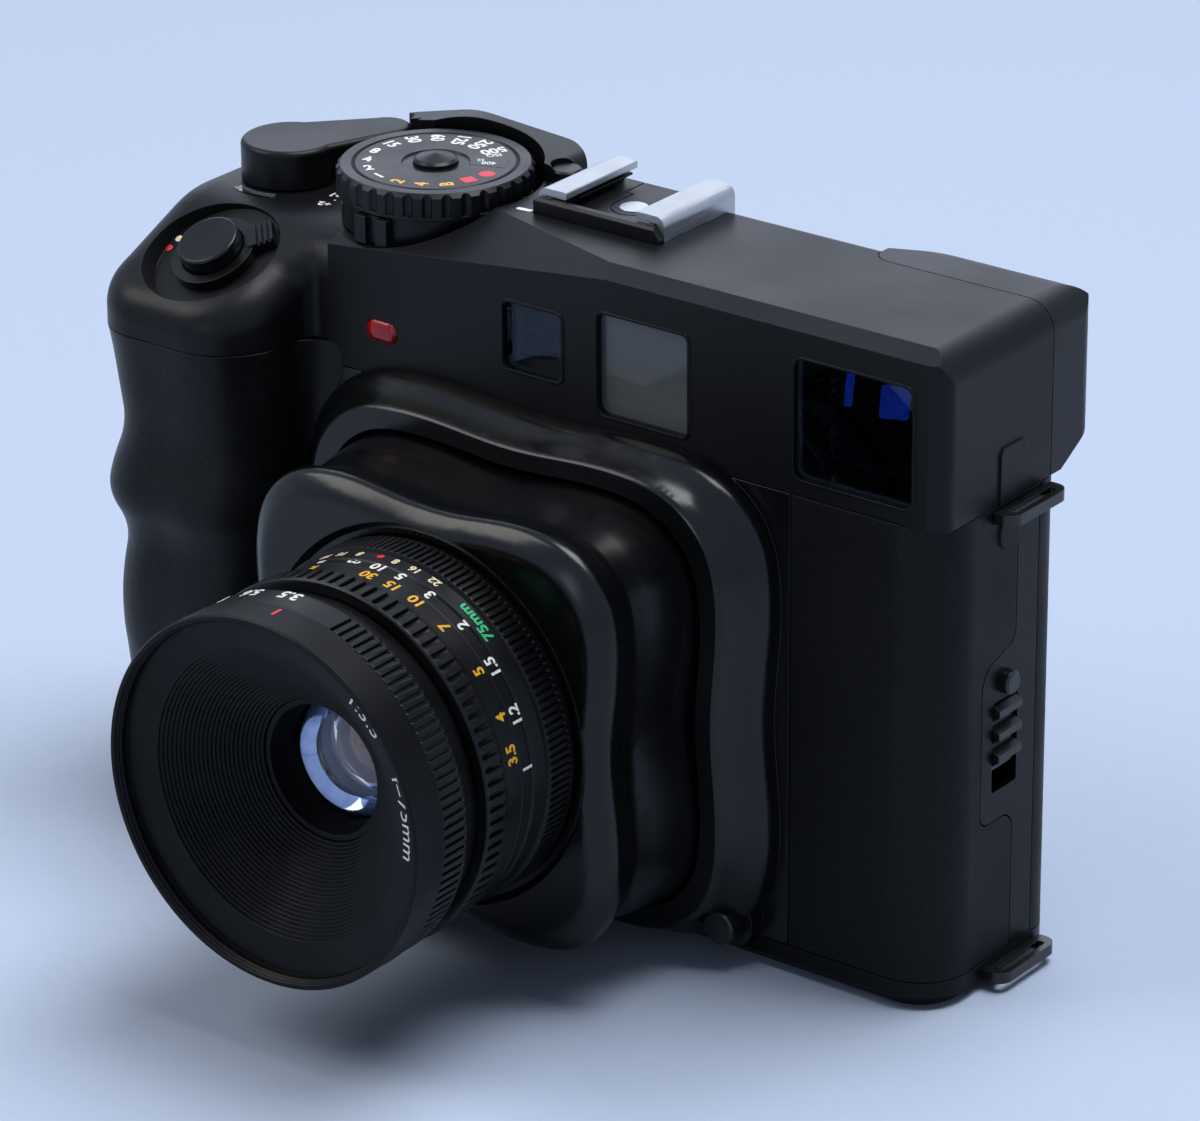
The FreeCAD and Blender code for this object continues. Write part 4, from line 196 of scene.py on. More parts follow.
@dataclass(frozen=True)
class Finish:
    """A surface: what it is made of and how it was finished.

    The other colour is the one that its pattern brings in: worn corners, grain
    whose pits are painted with shade, or an uneven film.
    """

    title: str
    colour: str
    roughness: float
    metallic: float = 0.0
    gloss: float = 0.5
    other: str = "#202123"

    def cloud(
        self, tree: Tree, width: float, detail: float = 2.0, vector: Socket | None = None
    ) -> Socket:
        """Gives an uneven pattern with lumps of a real width.

        Args:
            tree: node tree that takes the pattern.
            width: width of one lump in mm.
            detail: how many finer layers ride on the lumps.
            vector: where it is sampled; the object's own place if left out.

        Returns:
            A value from 0 to 1.
        """
        if vector is None:
            vector = add_node(tree, "ShaderNodeTexCoord").outputs["Object"]
        inputs = {"Vector": vector, "Scale": 1.0 / (width * MM), "Detail": detail}
        return add_node(tree, "ShaderNodeTexNoise", inputs).outputs["Fac"]

    def spread(self, tree: Tree, value: Socket, low: float = 0.0, high: float = 1.0) -> Socket:
        """Spreads the middle of a pattern between two numbers.

        Args:
            tree: node tree that takes the node.
            value: pattern from 0 to 1 that seldom leaves its middle third.
            low: number for the pattern's low places.
            high: number for its high places.

        Returns:
            The spread value.
        """
        inputs = {"Value": value, "From Min": 0.34, "From Max": 0.66, "To Min": low, "To Max": high}
        return add_node(tree, "ShaderNodeMapRange", inputs).outputs["Result"]

    def tones(self, tree: Tree, value: Socket, first: str = "", second: str = "") -> Socket:
        """Mixes two hex colours by a pattern.

        Args:
            tree: node tree that takes the node.
            value: 0 for the first colour, 1 for the second.
            first: hex colour; the finish's main colour if left out.
            second: hex colour; the finish's other colour if left out.

        Returns:
            The mixed colour.
        """
        inputs = {0: value, 6: linear(first or self.colour), 7: linear(second or self.other)}
        return add_node(tree, "ShaderNodeMix", inputs, data_type="RGBA").outputs[2]

    def relief(self, tree: Tree, height: Socket, depth: float, corner: float = 0.18) -> Socket:
        """Raises a pattern on a surface whose corners are slightly broken.

        Args:
            tree: node tree that takes the nodes.
            height: pattern from 0 to 1.
            depth: its real depth in mm.
            corner: radius of the broken corners in mm.

        Returns:
            A normal for the shader.
        """
        corners = add_node(tree, "ShaderNodeBevel", {"Radius": corner * MM}, samples=4)
        inputs = {"Height": height, "Distance": depth * MM, "Normal": corners.outputs[0]}
        return add_node(tree, "ShaderNodeBump", inputs).outputs["Normal"]

    def rubbed(self, tree: Tree, width: float = 0.3) -> Socket:
        """Finds the outer corners where hands have polished the surface.

        Args:
            tree: node tree that takes the nodes.
            width: reach of the rubbed line in mm.

        Returns:
            0 on open faces, rising to 1 on corners, broken up unevenly.
        """
        corners = add_node(tree, "ShaderNodeBevel", {"Radius": width * MM}, samples=4)
        true = add_node(tree, "ShaderNodeNewGeometry").outputs["Normal"]
        pair = {0: corners.outputs[0], 1: true}
        facing = add_node(
            tree, "ShaderNodeVectorMath", pair, operation="DOT_PRODUCT"
        ).outputs["Value"]
        # Flat faces give one; a corner is found from ten degrees of bend on.
        bend = {"Value": facing, "From Min": 0.985, "From Max": 0.86}
        edge = add_node(tree, "ShaderNodeMapRange", bend).outputs["Result"]
        broken = {0: edge, 1: self.spread(tree, self.cloud(tree, 6.0, 3.0), 0.15)}
        return add_node(tree, "ShaderNodeMath", broken, operation="MULTIPLY").outputs[0]

    def skin(self, tree: Tree, mix: Socket, haze: Socket, swing: Sheet, normal: Socket) -> Inputs:
        """Gives the inputs that most opaque finishes share.

        Args:
            tree: node tree that takes the nodes.
            mix: 0 for the main colour, 1 for the other.
            haze: pattern that the roughness follows.
            swing: how far the roughness strays down and up.
            normal: relief for the shader.

        Returns:
            Colour, roughness and normal.
        """
        low, high = (self.roughness + change for change in swing)
        return {
            "Base Color": self.tones(tree, mix),
            "Roughness": self.spread(tree, haze, low, high),
            "Normal": normal,
        }

    def sockets(self, tree: Tree) -> Inputs:
        """Gives the shader's inputs; each finish adds its own pattern."""
        return {"Base Color": linear(self.colour), "Roughness": self.roughness}

    def surface(self, tree: Tree) -> Socket:
        """Adds the shader.

        Args:
            tree: node tree that takes the nodes.

        Returns:
            What the material shows.
        """
        inputs = {"Metallic": self.metallic, "Specular IOR Level": self.gloss}
        inputs.update(self.sockets(tree))
        return add_node(tree, "ShaderNodeBsdfPrincipled", inputs).outputs["BSDF"]

    def material(self) -> bpy.types.Material:
        """Makes the material once and returns it afterwards.

        Returns:
            The Blender material of this finish.
        """
        known = bpy.data.materials.get(self.title)
        if known is not None:
            return known
        made = bpy.data.materials.new(self.title)
        made.use_nodes = True
        tree = made.node_tree
        tree.nodes.clear()
        add_node(tree, "ShaderNodeOutputMaterial", {"Surface": self.surface(tree)})
        return made


@dataclass(frozen=True)
class SprayedPaint(Finish):
    """Black polyurethane paint sprayed on a die casting.

    The eye sees a soft sheen broken by a very fine orange peel, and slightly
    paler, smoother corners where hands rub.
    """

    # Real peel is about 0.2 mm; it is drawn at 0.5 mm so that it shows.
    peel: float = 0.5
    depth: float = 0.006

    def sockets(self, tree: Tree) -> Inputs:
        """Gives orange peel, handling haze and rubbed corners.

        Args:
            tree: node tree that takes the nodes.

        Returns:
            The shader's inputs.
        """
        haze, peel = self.cloud(tree, 26.0, 4.0), self.cloud(tree, self.peel, 1.0)
        normal = self.relief(tree, peel, self.depth)
        return self.skin(tree, self.rubbed(tree), haze, (-0.05, 0.05), normal)


@dataclass(frozen=True)
class GripRubber(Finish):
    """Soft polyurethane skin moulded over the grip: dull, fine grained, dry."""

    # Paler tone of the grain's rims; the pits keep the darker main colour as painted shade.
    other: str = "#131415"
    # The mould's grain is about 0.3 mm; drawn at 0.6 mm.
    grain: float = 0.6
    depth: float = 0.012

    def sockets(self, tree: Tree) -> Inputs:
        """Gives spark-eroded grain from the mould, with painted shade in its pits.

        Args:
            tree: node tree that takes the nodes.

        Returns:
            The shader's inputs.
        """
        place = add_node(tree, "ShaderNodeTexCoord").outputs["Object"]
        grain = {"Vector": place, "Scale": 1.0 / (self.grain * MM), "Randomness": 1.0}
        pits = add_node(
            tree, "ShaderNodeTexVoronoi", grain, feature="SMOOTH_F1"
        ).outputs["Distance"]
        normal = self.relief(tree, pits, self.depth, 0.4)
        palm = self.cloud(tree, 18.0, 3.0)
        # The pits are painted darker than the rims: painted shade in the grain's hollows.
        return self.skin(tree, self.spread(tree, pits), palm, (-0.06, 0.06), normal)


@dataclass(frozen=True)
class TurnedMetal(Finish):
    """Aluminium turned on a lathe and anodised: fine rings that catch light."""

    other: str = "#2b2c2f"
    turn: Turn = Turn.LENS
    # Tool marks are 0.05 mm apart; drawn coarser so that they show.
    pitch: float = 0.35
    depth: float = 0.004

    def sockets(self, tree: Tree) -> Inputs:
        """Gives tool rings about the turning axis and brighter broken corners.

        Args:
            tree: node tree that takes the nodes.

        Returns:
            The shader's inputs.
        """
        centre, way = self.turn.value
        place = add_node(tree, "ShaderNodeTexCoord").outputs["Object"]
        kind = "ShaderNodeVectorMath"
        offset = {0: place, 1: tuple(c * MM for c in centre)}
        arm = add_node(tree, kind, offset, operation="SUBTRACT").outputs["Vector"]
        station = add_node(tree, kind, {0: arm, 1: way}, operation="DOT_PRODUCT").outputs["Value"]
        flat = {0: arm, 1: tuple(1.0 - w for w in way)}
        across = add_node(tree, kind, flat, operation="MULTIPLY").outputs["Vector"]
        radius = add_node(tree, kind, {0: across}, operation="LENGTH").outputs["Value"]
        lathe = add_node(tree, "ShaderNodeCombineXYZ", {"X": radius, "Y": station}).outputs[0]
        rings = self.cloud(tree, self.pitch, 2.0, lathe)
        normal = self.relief(tree, rings, self.depth, 0.12)
        haze = self.cloud(tree, 9.0, 3.0)
        return self.skin(tree, self.rubbed(tree, 0.22), haze, (-0.05, 0.05), normal)


@dataclass(frozen=True)
class MouldedPlastic(Finish):
    """Injection moulded ABS: even, with a fine matt texture from the tool."""

    other: str = "#1d1e1f"
    grain: float = 0.7
    depth: float = 0.008

    def sockets(self, tree: Tree) -> Inputs:
        """Gives a fine tool texture and small changes of gloss.

        Args:
            tree: node tree that takes the nodes.

        Returns:
            The shader's inputs.
        """
        normal = self.relief(tree, self.cloud(tree, self.grain), self.depth)
        flow = self.cloud(tree, 14.0, 3.0)
        return self.skin(tree, self.rubbed(tree), flow, (-0.04, 0.04), normal)


@dataclass(frozen=True)
class BrushedSteel(Finish):
    """Nickel plated spring steel, brushed along its length."""

    metallic: float = 1.0
    other: str = "#b9bbbd"
    # Scratches lie 0.2 mm apart and are drawn out about twenty times.
    scratch: float = 0.2
    stroke: Point = (0.09, 0.004, 0.09)

    def sockets(self, tree: Tree) -> Inputs:
        """Gives long fine scratches that stretch the highlight.

        Args:
            tree: node tree that takes the nodes.

        Returns:
            The shader's inputs.
        """
        place = add_node(tree, "ShaderNodeTexCoord").outputs["Object"]
        along = {"Vector": place, "Scale": tuple(s / self.stroke[0] for s in self.stroke)}
        drawn = add_node(tree, "ShaderNodeMapping", along).outputs[0]
        lines = self.cloud(tree, self.scratch, 3.0, drawn)
        normal = self.relief(tree, lines, 0.004, 0.1)
        tarnish = self.spread(tree, self.cloud(tree, 5.0))
        return self.skin(tree, tarnish, lines, (-0.07, 0.09), normal)


@dataclass(frozen=True)
class Glass(Finish):
    """Polished optical glass with an anti-reflection coating.

    It stays dark and clear, and what it does reflect is coloured by the coating.
    """

    coating: str = "#8fb4ff"
    ior: float = 1.52

    def sockets(self, tree: Tree) -> Inputs:
        """Gives a clear body with a coloured reflection and a trace of haze.

        Args:
            tree: node tree that takes the nodes.

        Returns:
            The shader's inputs.
        """
        dust = self.cloud(tree, 2.0, 4.0)
        wiped = {"Value": dust, "From Min": 0.66, "From Max": 0.8, "To Max": 0.03}
        return {
            "Base Color": linear(self.colour),
            "Roughness": add_node(tree, "ShaderNodeMapRange", wiped).outputs["Result"],
            "IOR": self.ior,
            "Transmission Weight": 1.0,
            "Specular Tint": linear(self.coating),
        }


@dataclass(frozen=True)
class DichroicCoating(Finish):
    """Thin-film coating on a glass face: it mirrors blue and passes the rest."""

    metallic: float = 1.0
    other: str = "#2140a0"

    def sockets(self, tree: Tree) -> Inputs:
        """Blue mirror with a slightly uneven film."""
        film = self.spread(tree, self.cloud(tree, 1.5))
        return {"Base Color": self.tones(tree, film), "Roughness": self.roughness}


@dataclass(frozen=True)
class FrostedAcrylic(Finish):
    """Grey acrylic with a frosted back: it lets light in but shows no picture.

    It passes from the foot's tone to the head's between two heights in mm.
    """

    other: str = "#4d4e4a"
    foot: float = 92.5
    head: float = 96.5

    def sockets(self, tree: Tree) -> Inputs:
        """Gives a fine milky grain under a smooth front face.

        Args:
            tree: node tree that takes the nodes.

        Returns:
            The shader's inputs.
        """
        place = add_node(tree, "ShaderNodeTexCoord").outputs["Object"]
        height = add_node(tree, "ShaderNodeSeparateXYZ", {0: place}).outputs["Z"]
        span = {"Value": height, "From Min": self.foot * MM, "From Max": self.head * MM}
        rise = add_node(tree, "ShaderNodeMapRange", span).outputs["Result"]
        mottle = self.spread(tree, self.cloud(tree, 0.45, 3.0), -0.06, 0.06)
        lift = add_node(tree, "ShaderNodeMath", {0: rise, 1: mottle}, operation="ADD").outputs[0]
        return {
            "Base Color": self.tones(tree, lift, self.other, self.colour),
            "Roughness": self.roughness,
            "Coat Weight": 0.5,
            "Coat Roughness": 0.05,
        }


@dataclass(frozen=True)
class TintedPlastic(Finish):
    """Clear plastic dyed through, such as a signal lamp's lens."""

    other: str = "#980b12"

    def sockets(self, tree: Tree) -> Inputs:
        """Deep colour under a glossy moulded skin."""
        swirl = self.spread(tree, self.cloud(tree, 1.6))
        return {"Base Color": self.tones(tree, swirl), "Roughness": self.roughness}


@dataclass(frozen=True)
class PaintFill(Finish):
    """Enamel wiped into engraved figures: flat colour, slightly uneven film."""

    thin: float = 0.86

    def sockets(self, tree: Tree) -> Inputs:
        """Gives an uneven film with a few worn specks.

        Args:
            tree: node tree that takes the nodes.

        Returns:
            The shader's inputs.
        """
        film = self.cloud(tree, 0.5, 3.0)
        parts = (int(int(self.colour[i:i + 2], 16) * self.thin) for i in (1, 3, 5))
        shade = "#" + "".join(f"{part:02x}" for part in parts)
        return {
            "Base Color": self.tones(tree, self.spread(tree, film), shade, self.colour),
            "Roughness": self.spread(tree, film, self.roughness - 0.08, self.roughness + 0.08),
            "Normal": self.relief(tree, film, 0.004, 0.02),
        }


@dataclass(frozen=True)
class CoatedCloth(Finish):
    """Rubberised cotton of the bellows: black, dull, with a close plain weave."""

    other: str = "#202021"
    thread: float = 0.5

    def sockets(self, tree: Tree) -> Inputs:
        """Gives a plain weave from two crossed sets of threads.

        Args:
            tree: node tree that takes the nodes.

        Returns:
            The shader's inputs.
        """
        place = add_node(tree, "ShaderNodeTexCoord").outputs["Object"]
        inputs = {"Vector": place, "Scale": 0.5 / (self.thread * MM), "Distortion": 0.4}
        warp, weft = (
            add_node(tree, "ShaderNodeTexWave", inputs, bands_direction=way).outputs["Fac"]
            for way in ("Y", "Z")
        )
        weave = add_node(
            tree, "ShaderNodeMath", {0: warp, 1: weft}, operation="MULTIPLY"
        ).outputs[0]
        return {
            "Base Color": self.tones(tree, weave),
            "Roughness": self.roughness,
            "Sheen Weight": 0.15,
            "Normal": self.relief(tree, weave, 0.03, 0.3),
        }


@dataclass(frozen=True)
class StudioPaper(Finish):
    """Seamless background paper: matt, with fibres too fine to stand out.

    Far from the object it passes into the backdrop, as a cove does, between two
    distances in metres.
    """

    other: str = "#b6c7e3"
    near: float = 0.45
    far: float = 1.9

    def sockets(self, tree: Tree) -> Inputs:
        """Paper fibres."""
        fibre = self.cloud(tree, 2.5, 3.0)
        return {"Base Color": self.tones(tree, fibre), "Roughness": self.roughness}

    def surface(self, tree: Tree) -> Socket:
        """Adds the paper with its fade into the backdrop.

        Args:
            tree: node tree that takes the nodes.

        Returns:
            What the floor shows.
        """
        paper = super().surface(tree)
        place = {0: add_node(tree, "ShaderNodeTexCoord").outputs["Object"]}
        away = add_node(tree, "ShaderNodeVectorMath", place, operation="LENGTH").outputs["Value"]
        span = {"Value": away, "From Min": self.near, "From Max": self.far}
        cove = add_node(
            tree, "ShaderNodeMapRange", span, interpolation_type="SMOOTHSTEP"
        ).outputs["Result"]
        shown = {0: cove, 1: looked_at(tree)}
        fade = add_node(tree, "ShaderNodeMath", shown, operation="MULTIPLY").outputs[0]
        glow = add_node(tree, "ShaderNodeEmission", {"Color": linear(BACKDROP), "Strength": 1.0})
        layers = {0: fade, 1: paper, 2: glow.outputs[0]}
        return add_node(tree, "ShaderNodeMixShader", layers).outputs[0]


TOP_PAINT = SprayedPaint("satin_black_paint_on_top_cover", "#0a0b0d", 0.38, gloss=0.20)
BODY_PAINT = SprayedPaint("satin_black_paint_on_body", "#08090a", 0.32, gloss=0.16)
FRAME_PAINT = SprayedPaint(
    "semi_gloss_paint_on_lens_frame", "#060708", 0.22, gloss=0.34, other="#17181a"
)
SKIN = GripRubber("moulded_polyurethane_grip_skin", "#090a0b", 0.38, gloss=0.18)
PANEL_SKIN = GripRubber(
    "fine_grained_side_skin", "#0a0b0c", 0.46, gloss=0.14, grain=0.45, depth=0.006
)
LENS_BLACK = TurnedMetal("anodised_lens_barrel", "#08090a", 0.34, gloss=0.24)
RIM_BLACK = TurnedMetal("anodised_baffle_matt", "#050506", 0.40, gloss=0.15, depth=0.003)
DIAL_BLACK = TurnedMetal("anodised_dial", "#0c0d10", 0.34, gloss=0.26, turn=Turn.DIAL)
RELEASE_BLACK = TurnedMetal("anodised_release", "#0a0b0c", 0.28, gloss=0.30, turn=Turn.RELEASE)
LUG_BLACK = TurnedMetal(
    "blackened_steel_fitting", "#0c0d0e", 0.28, gloss=0.5, turn=Turn.LEVER, depth=0.002
)
PLASTIC = MouldedPlastic("moulded_black_abs", "#0b0c0d", 0.38, gloss=0.26)
CHASSIS = MouldedPlastic("moulded_matt_black_chassis", "#070708", 0.62, gloss=0.3)
COVER_BLACK = MouldedPlastic("gloss_black_window_panel", "#040405", 0.30, gloss=0.25)
EYECUP = GripRubber("moulded_eyepiece_rubber", "#0a0a0b", 0.55, gloss=0.35, grain=0.5)
CASTING = SprayedPaint("matt_black_chamber_paint", "#0b0c0d", 0.55, gloss=0.35)
NICKEL = BrushedSteel("brushed_nickel_plated_steel", "#b2b4b7", 0.38)
BRIGHT = BrushedSteel("polished_steel", "#b9bbbd", 0.20, stroke=(0.05, 0.05, 0.05))
BLADE_STEEL = BrushedSteel("blackened_blade_steel", "#0d0e10", 0.42, stroke=(0.02, 0.02, 0.02))
FRONT_GLASS = Glass("coated_lens_glass", "#ffffff", 0.0, coating="#b9d2ff")
AMBER_GLASS = Glass("amber_coated_lens_glass", "#fff6ea", 0.0, coating="#ffb766")
WINDOW_GLASS = Glass("coated_window_glass", "#a9b4c6", 0.0, coating="#8b98ae")
COVER_GLASS = Glass("counter_window_acrylic", "#f4f4f0", 0.0, coating="#ffffff", ior=1.49)
OPTICS = Glass("finder_prism_glass", "#1d2026", 0.0, coating="#5a6480")
SPLITTER = DichroicCoating("blue_dichroic_coating", "#2a50b8", 0.14)
MIRROR_COAT = DichroicCoating("pale_blue_mirror_coating", "#a9bdea", 0.09, other="#9bb1e2")
FROSTED = FrostedAcrylic("frosted_grey_acrylic", "#474d55", 0.45)
LAMP = TintedPlastic("red_lamp_lens", "#a3060c", 0.07, gloss=0.4)
CLOTH = CoatedCloth("rubberised_bellows_cloth", "#0f0f10", 0.72)
WHITE = PaintFill("white_paint_fill", "#f4f5f5", 0.42)
CREAM = PaintFill("cream_paint_fill", "#f1e2bb", 0.42)
YELLOW = PaintFill("yellow_paint_fill", "#f2b62c", 0.42)
RED = PaintFill("red_paint_fill", "#de1f28", 0.42)
GREEN = PaintFill("green_paint_fill", "#2bc283", 0.42)
PAPER = StudioPaper("pale_blue_background_paper", BACKDROP, 0.9, gloss=0.2)


def polar(radius: float, angle: float) -> Sheet:
    """Gives the point at a radius and an angle in radians from +X."""
    return radius * math.cos(angle), radius * math.sin(angle)


def arc(radius: float, first: float, last: float, steps: int) -> list[Sheet]:
    """Gives the points of an arc in equal steps, with both its ends."""
    return [polar(radius, first + (last - first) * k / steps) for k in range(steps + 1)]


def disc(radius: float, count: int) -> list[Sheet]:
    """Outlines a disc with a number of points."""
    return arc(radius, 0.0, math.tau, count)[:-1]


def off_axis(radius: float, angle: float, station: float) -> Point:
    """Gives a point round the lens axis, its angle in radians from the top."""
    return radius * math.sin(angle), station, LENS_AXIS + radius * math.cos(angle)


def rounded(cx: float, cy: float, width: float, height: float, radius: float) -> list[Sheet]:
    """Outlines a rectangle with round corners.

    Args:
        cx: middle across.
        cy: middle upward.
        width: whole width.
        height: whole height.
        radius: corner radius.

    Returns:
        The outline's points, anticlockwise.
    """
    outline: list[Sheet] = []
    for quarter, (sx, sy) in enumerate(((1, 1), (-1, 1), (-1, -1), (1, -1))):
        ox, oy = cx + sx * (width / 2 - radius), cy + sy * (height / 2 - radius)
        for k in range(7):
            x, y = polar(radius, math.radians(90 * quarter + 15 * k))
            outline.append((ox + x, oy + y))
    return outline


def upright(outline: Sequence[Sheet], station: float) -> list[Point]:
    """Stands an outline upright at a station along the lens."""
    return [(x, station, z) for x, z in outline]


def nested(
    middle: Sheet, size: Sheet, corner: float, rows: Iterable[Sheet], least: float = 0.1
) -> list[list[Point]]:
    """Stands round-cornered frames one inside another.

    Args:
        middle: their middle, across and upward.
        size: width and height of the frame that isn't grown.
        corner: its corner radius.
        rows: how far each frame is grown and the station where it stands.
        least: smallest corner radius.

    Returns:
        One ring of points for each row.
    """
    return [
        upright(
            rounded(*middle, size[0] + 2 * grow, size[1] + 2 * grow, max(corner + grow, least)),
            station,
        )
        for grow, station in rows
    ]


def plane(origin: Iterable[float], along: Point, up: Point, out: Point) -> Mapper:
    """Gives the mapper for marks on a flat place.

    Args:
        origin: where their middle lies, in mm.
        along: direction that text runs in.
        up: direction of its tops.
        out: direction away from the place.

    Returns:
        The mapper.
    """
    axes = tuple(zip(origin, along, up, out))

    def place(x: float, y: float, rise: float) -> Point:
        """The place's own coordinates to the object's."""
        return tuple(o + a * x + u * y + n * rise for o, a, u, n in axes)

    return place


def deck(centre: Sheet, level: float, turn: float = 0.0) -> Mapper:
    """Gives the mapper for marks that lie face up, turned by an angle in radians."""
    c, s = polar(1.0, turn)
    return plane((*centre, level), (c, s, 0.0), (-s, c, 0.0), (0.0, 0.0, 1.0))


def around(centre: Sheet, radius: float, angle: float, level: float, turn: float = 0.0) -> Mapper:
    """Gives the mapper for a mark that lies face up beside a centre.

    Args:
        centre: the centre, in mm.
        radius: distance of the mark from it.
        angle: degrees from +X, anticlockwise.
        level: height that the mark lies on.
        turn: degrees from outward to the direction that its text runs in.

    Returns:
        The mapper.
    """
    x, y = polar(radius, math.radians(angle))
    return deck((centre[0] + x, centre[1] + y), level, math.radians(angle + turn))


@dataclass
class Shell:
    """A mesh in the making, in millimetres."""

    points: list[Point] = field(default_factory=list)
    faces: list[tuple[int, ...]] = field(default_factory=list)

    def add(self, points: Iterable[Point], faces: Iterable[Sequence[int]]) -> None:
        """Adds points and the faces between them.

        Args:
            points: new points in mm.
            faces: faces as indices into the new points.
        """
        base = len(self.points)
        self.points.extend(points)
        self.faces.extend(tuple(base + i for i in face) for face in faces)

    def loft(
        self, rings: Sequence[Sequence[Point]], ends: bool = False, tube: bool = False
    ) -> None:
        """Joins closed rings of equal count, one to the next.

        Args:
            rings: rings of points in mm.
            ends: closes the first and last ring with a face.
            tube: joins the last ring back to the first.
        """
        count = len(rings[0])
        faces: list[tuple[int, ...]] = []
        for k in range(len(rings) if tube else len(rings) - 1):
            here, there = k * count, (k + 1) % len(rings) * count
            for i in range(count):
                j = (i + 1) % count
                faces.append((here + i, here + j, there + j, there + i))
        if ends:
            faces.append(tuple(reversed(range(count))))
            faces.append(tuple(range((len(rings) - 1) * count, len(rings) * count)))
        self.add([p for ring in rings for p in ring], faces)

    def turned(self, profile: Sequence[Sheet], steps: int = 180) -> None:
        """Turns a closed profile about the lens axis.

        Args:
            profile: pairs of radius and station, in mm.
            steps: how many points go round.
        """
        angles = [math.tau * k / steps for k in range(steps)]
        self.loft([[off_axis(r, a, y) for a in angles] for r, y in profile], tube=True)

    def ribbed(self, profile: Sequence[Point], ribs: int, land: float, smooth: Sheet) -> None:
        """Turns a closed profile about the lens axis and cuts grip grooves in it.

        Args:
            profile: radius, station and groove depth at each corner, in mm.
            ribs: how many ribs go round.
            land: share of the pitch that a rib's flat top takes.
            smooth: arc left without ribs, as two angles from the top in degrees.
        """
        shape = (
            (0.02, 0.12), (0.07, 0.0), (land - 0.05, 0.0), (land, 0.12),
            (land + 0.07, 1.0), (0.94, 1.0),
        )
        marks: list[Sheet] = []
        for k in range(ribs):
            for share, cut in shape:
                angle = math.tau * (k + share) / ribs
                degrees = (math.degrees(angle) + 180.0) % 360.0 - 180.0
                marks.append((angle, 0.0 if smooth[0] <= degrees <= smooth[1] else cut))
        self.loft(
            [[off_axis(r - cut * deep, a, y) for a, cut in marks] for r, y, deep in profile],
            tube=True,
        )

    def slab(
        self, outline: Sequence[Sheet], mapper: Mapper, low: float = SUNK, high: float = PROUD
    ) -> None:
        """Makes a thin plate from an outline.

        Args:
            outline: corners in the plate's own plane, in mm.
            mapper: takes plate coordinates to the object's.
            low: lower face.
            high: upper face.
        """
        self.loft([[mapper(x, y, h) for x, y in outline] for h in (low, high)], ends=True)

    def mesh(self, name: str) -> bpy.types.Mesh:
        """Writes the shell as a Blender mesh in metres.

        Args:
            name: the mesh's name.

        Returns:
            The new mesh.
        """
        made = bpy.data.meshes.new(name)
        made.from_pydata([tuple(c * MM for c in p) for p in self.points], [], self.faces)
        return made

    def piece(
        self, name: str, finish: Finish, body: str, slot: Slot, sharp: float = 35.0
    ) -> bpy.types.Object:
        """Turns the shell into an object that rides on a body.

        Args:
            name: the piece's name.
            finish: its surface.
            body: the body that carries it.
            slot: material slot of the record; not used.
            sharp: corners above this angle in degrees stay sharp.

        Returns:
            The new object.
        """
        mesh = self.mesh(name)
        mesh.validate()
        mesh.update()
        mesh.polygons.foreach_set("use_smooth", [True] * len(mesh.polygons))
        mesh.set_sharp_from_angle(angle=math.radians(sharp))
        mesh.materials.append(finish.material())
        item = bpy.data.objects.new(name, mesh)
        bpy.context.scene.collection.objects.link(item)
        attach(item, body)
        LOG.info("%s rides on %s in %s", name, body, finish.title)
        return item


def dress(finish: Finish, *names: str) -> None:
    """Gives CAD nodes a finish.

    Args:
        finish: the surface.
        names: the nodes.
    """
    for name in names:
        node = frame["nodes"][name]
        for slot in node.material_slots:
            slot.material = finish.material()
        LOG.info("%s is dressed in %s", name, finish.title)


@dataclass
class Lettering:
    """Plain figures cut from the default type and laid on a surface."""

    shell: Shell = field(default_factory=Shell)
    proud: float = PROUD
    # A digit of the default type stands this share of the type size.
    digit: float = 0.70

    def write(
        self, text: str, height: float, mapper: Mapper, bold: float = 0.02, squeeze: float = 0.9
    ) -> None:
        """Lays one figure or word, centred on the mapper's origin.

        Args:
            text: plain figures.
            height: height of a digit in mm.
            mapper: takes text coordinates (along, up, out) to the object's.
            bold: how far the strokes swell, as a share of the type size.
            squeeze: width as a share of the type's own.
        """
        curve = bpy.data.curves.new("type", "FONT")
        curve.body = text
        curve.offset = bold
        curve.resolution_u = 3
        curve.extrude = 0.5
        item = bpy.data.objects.new("type", curve)
        mesh = bpy.data.meshes.new_from_object(item)
        scale = height / self.digit
        xs = [v.co.x for v in mesh.vertices]
        ys = [v.co.y for v in mesh.vertices]
        mid_x, mid_y = (min(xs) + max(xs)) / 2, (min(ys) + max(ys)) / 2
        self.shell.add(
            [
                mapper(
                    (v.co.x - mid_x) * scale * squeeze,
                    (v.co.y - mid_y) * scale,
                    self.proud if v.co.z > 0 else SUNK,
                )
                for v in mesh.vertices
            ],
            [tuple(p.vertices) for p in mesh.polygons],
        )
        bpy.data.meshes.remove(mesh)
        bpy.data.objects.remove(item)
        bpy.data.curves.remove(curve)


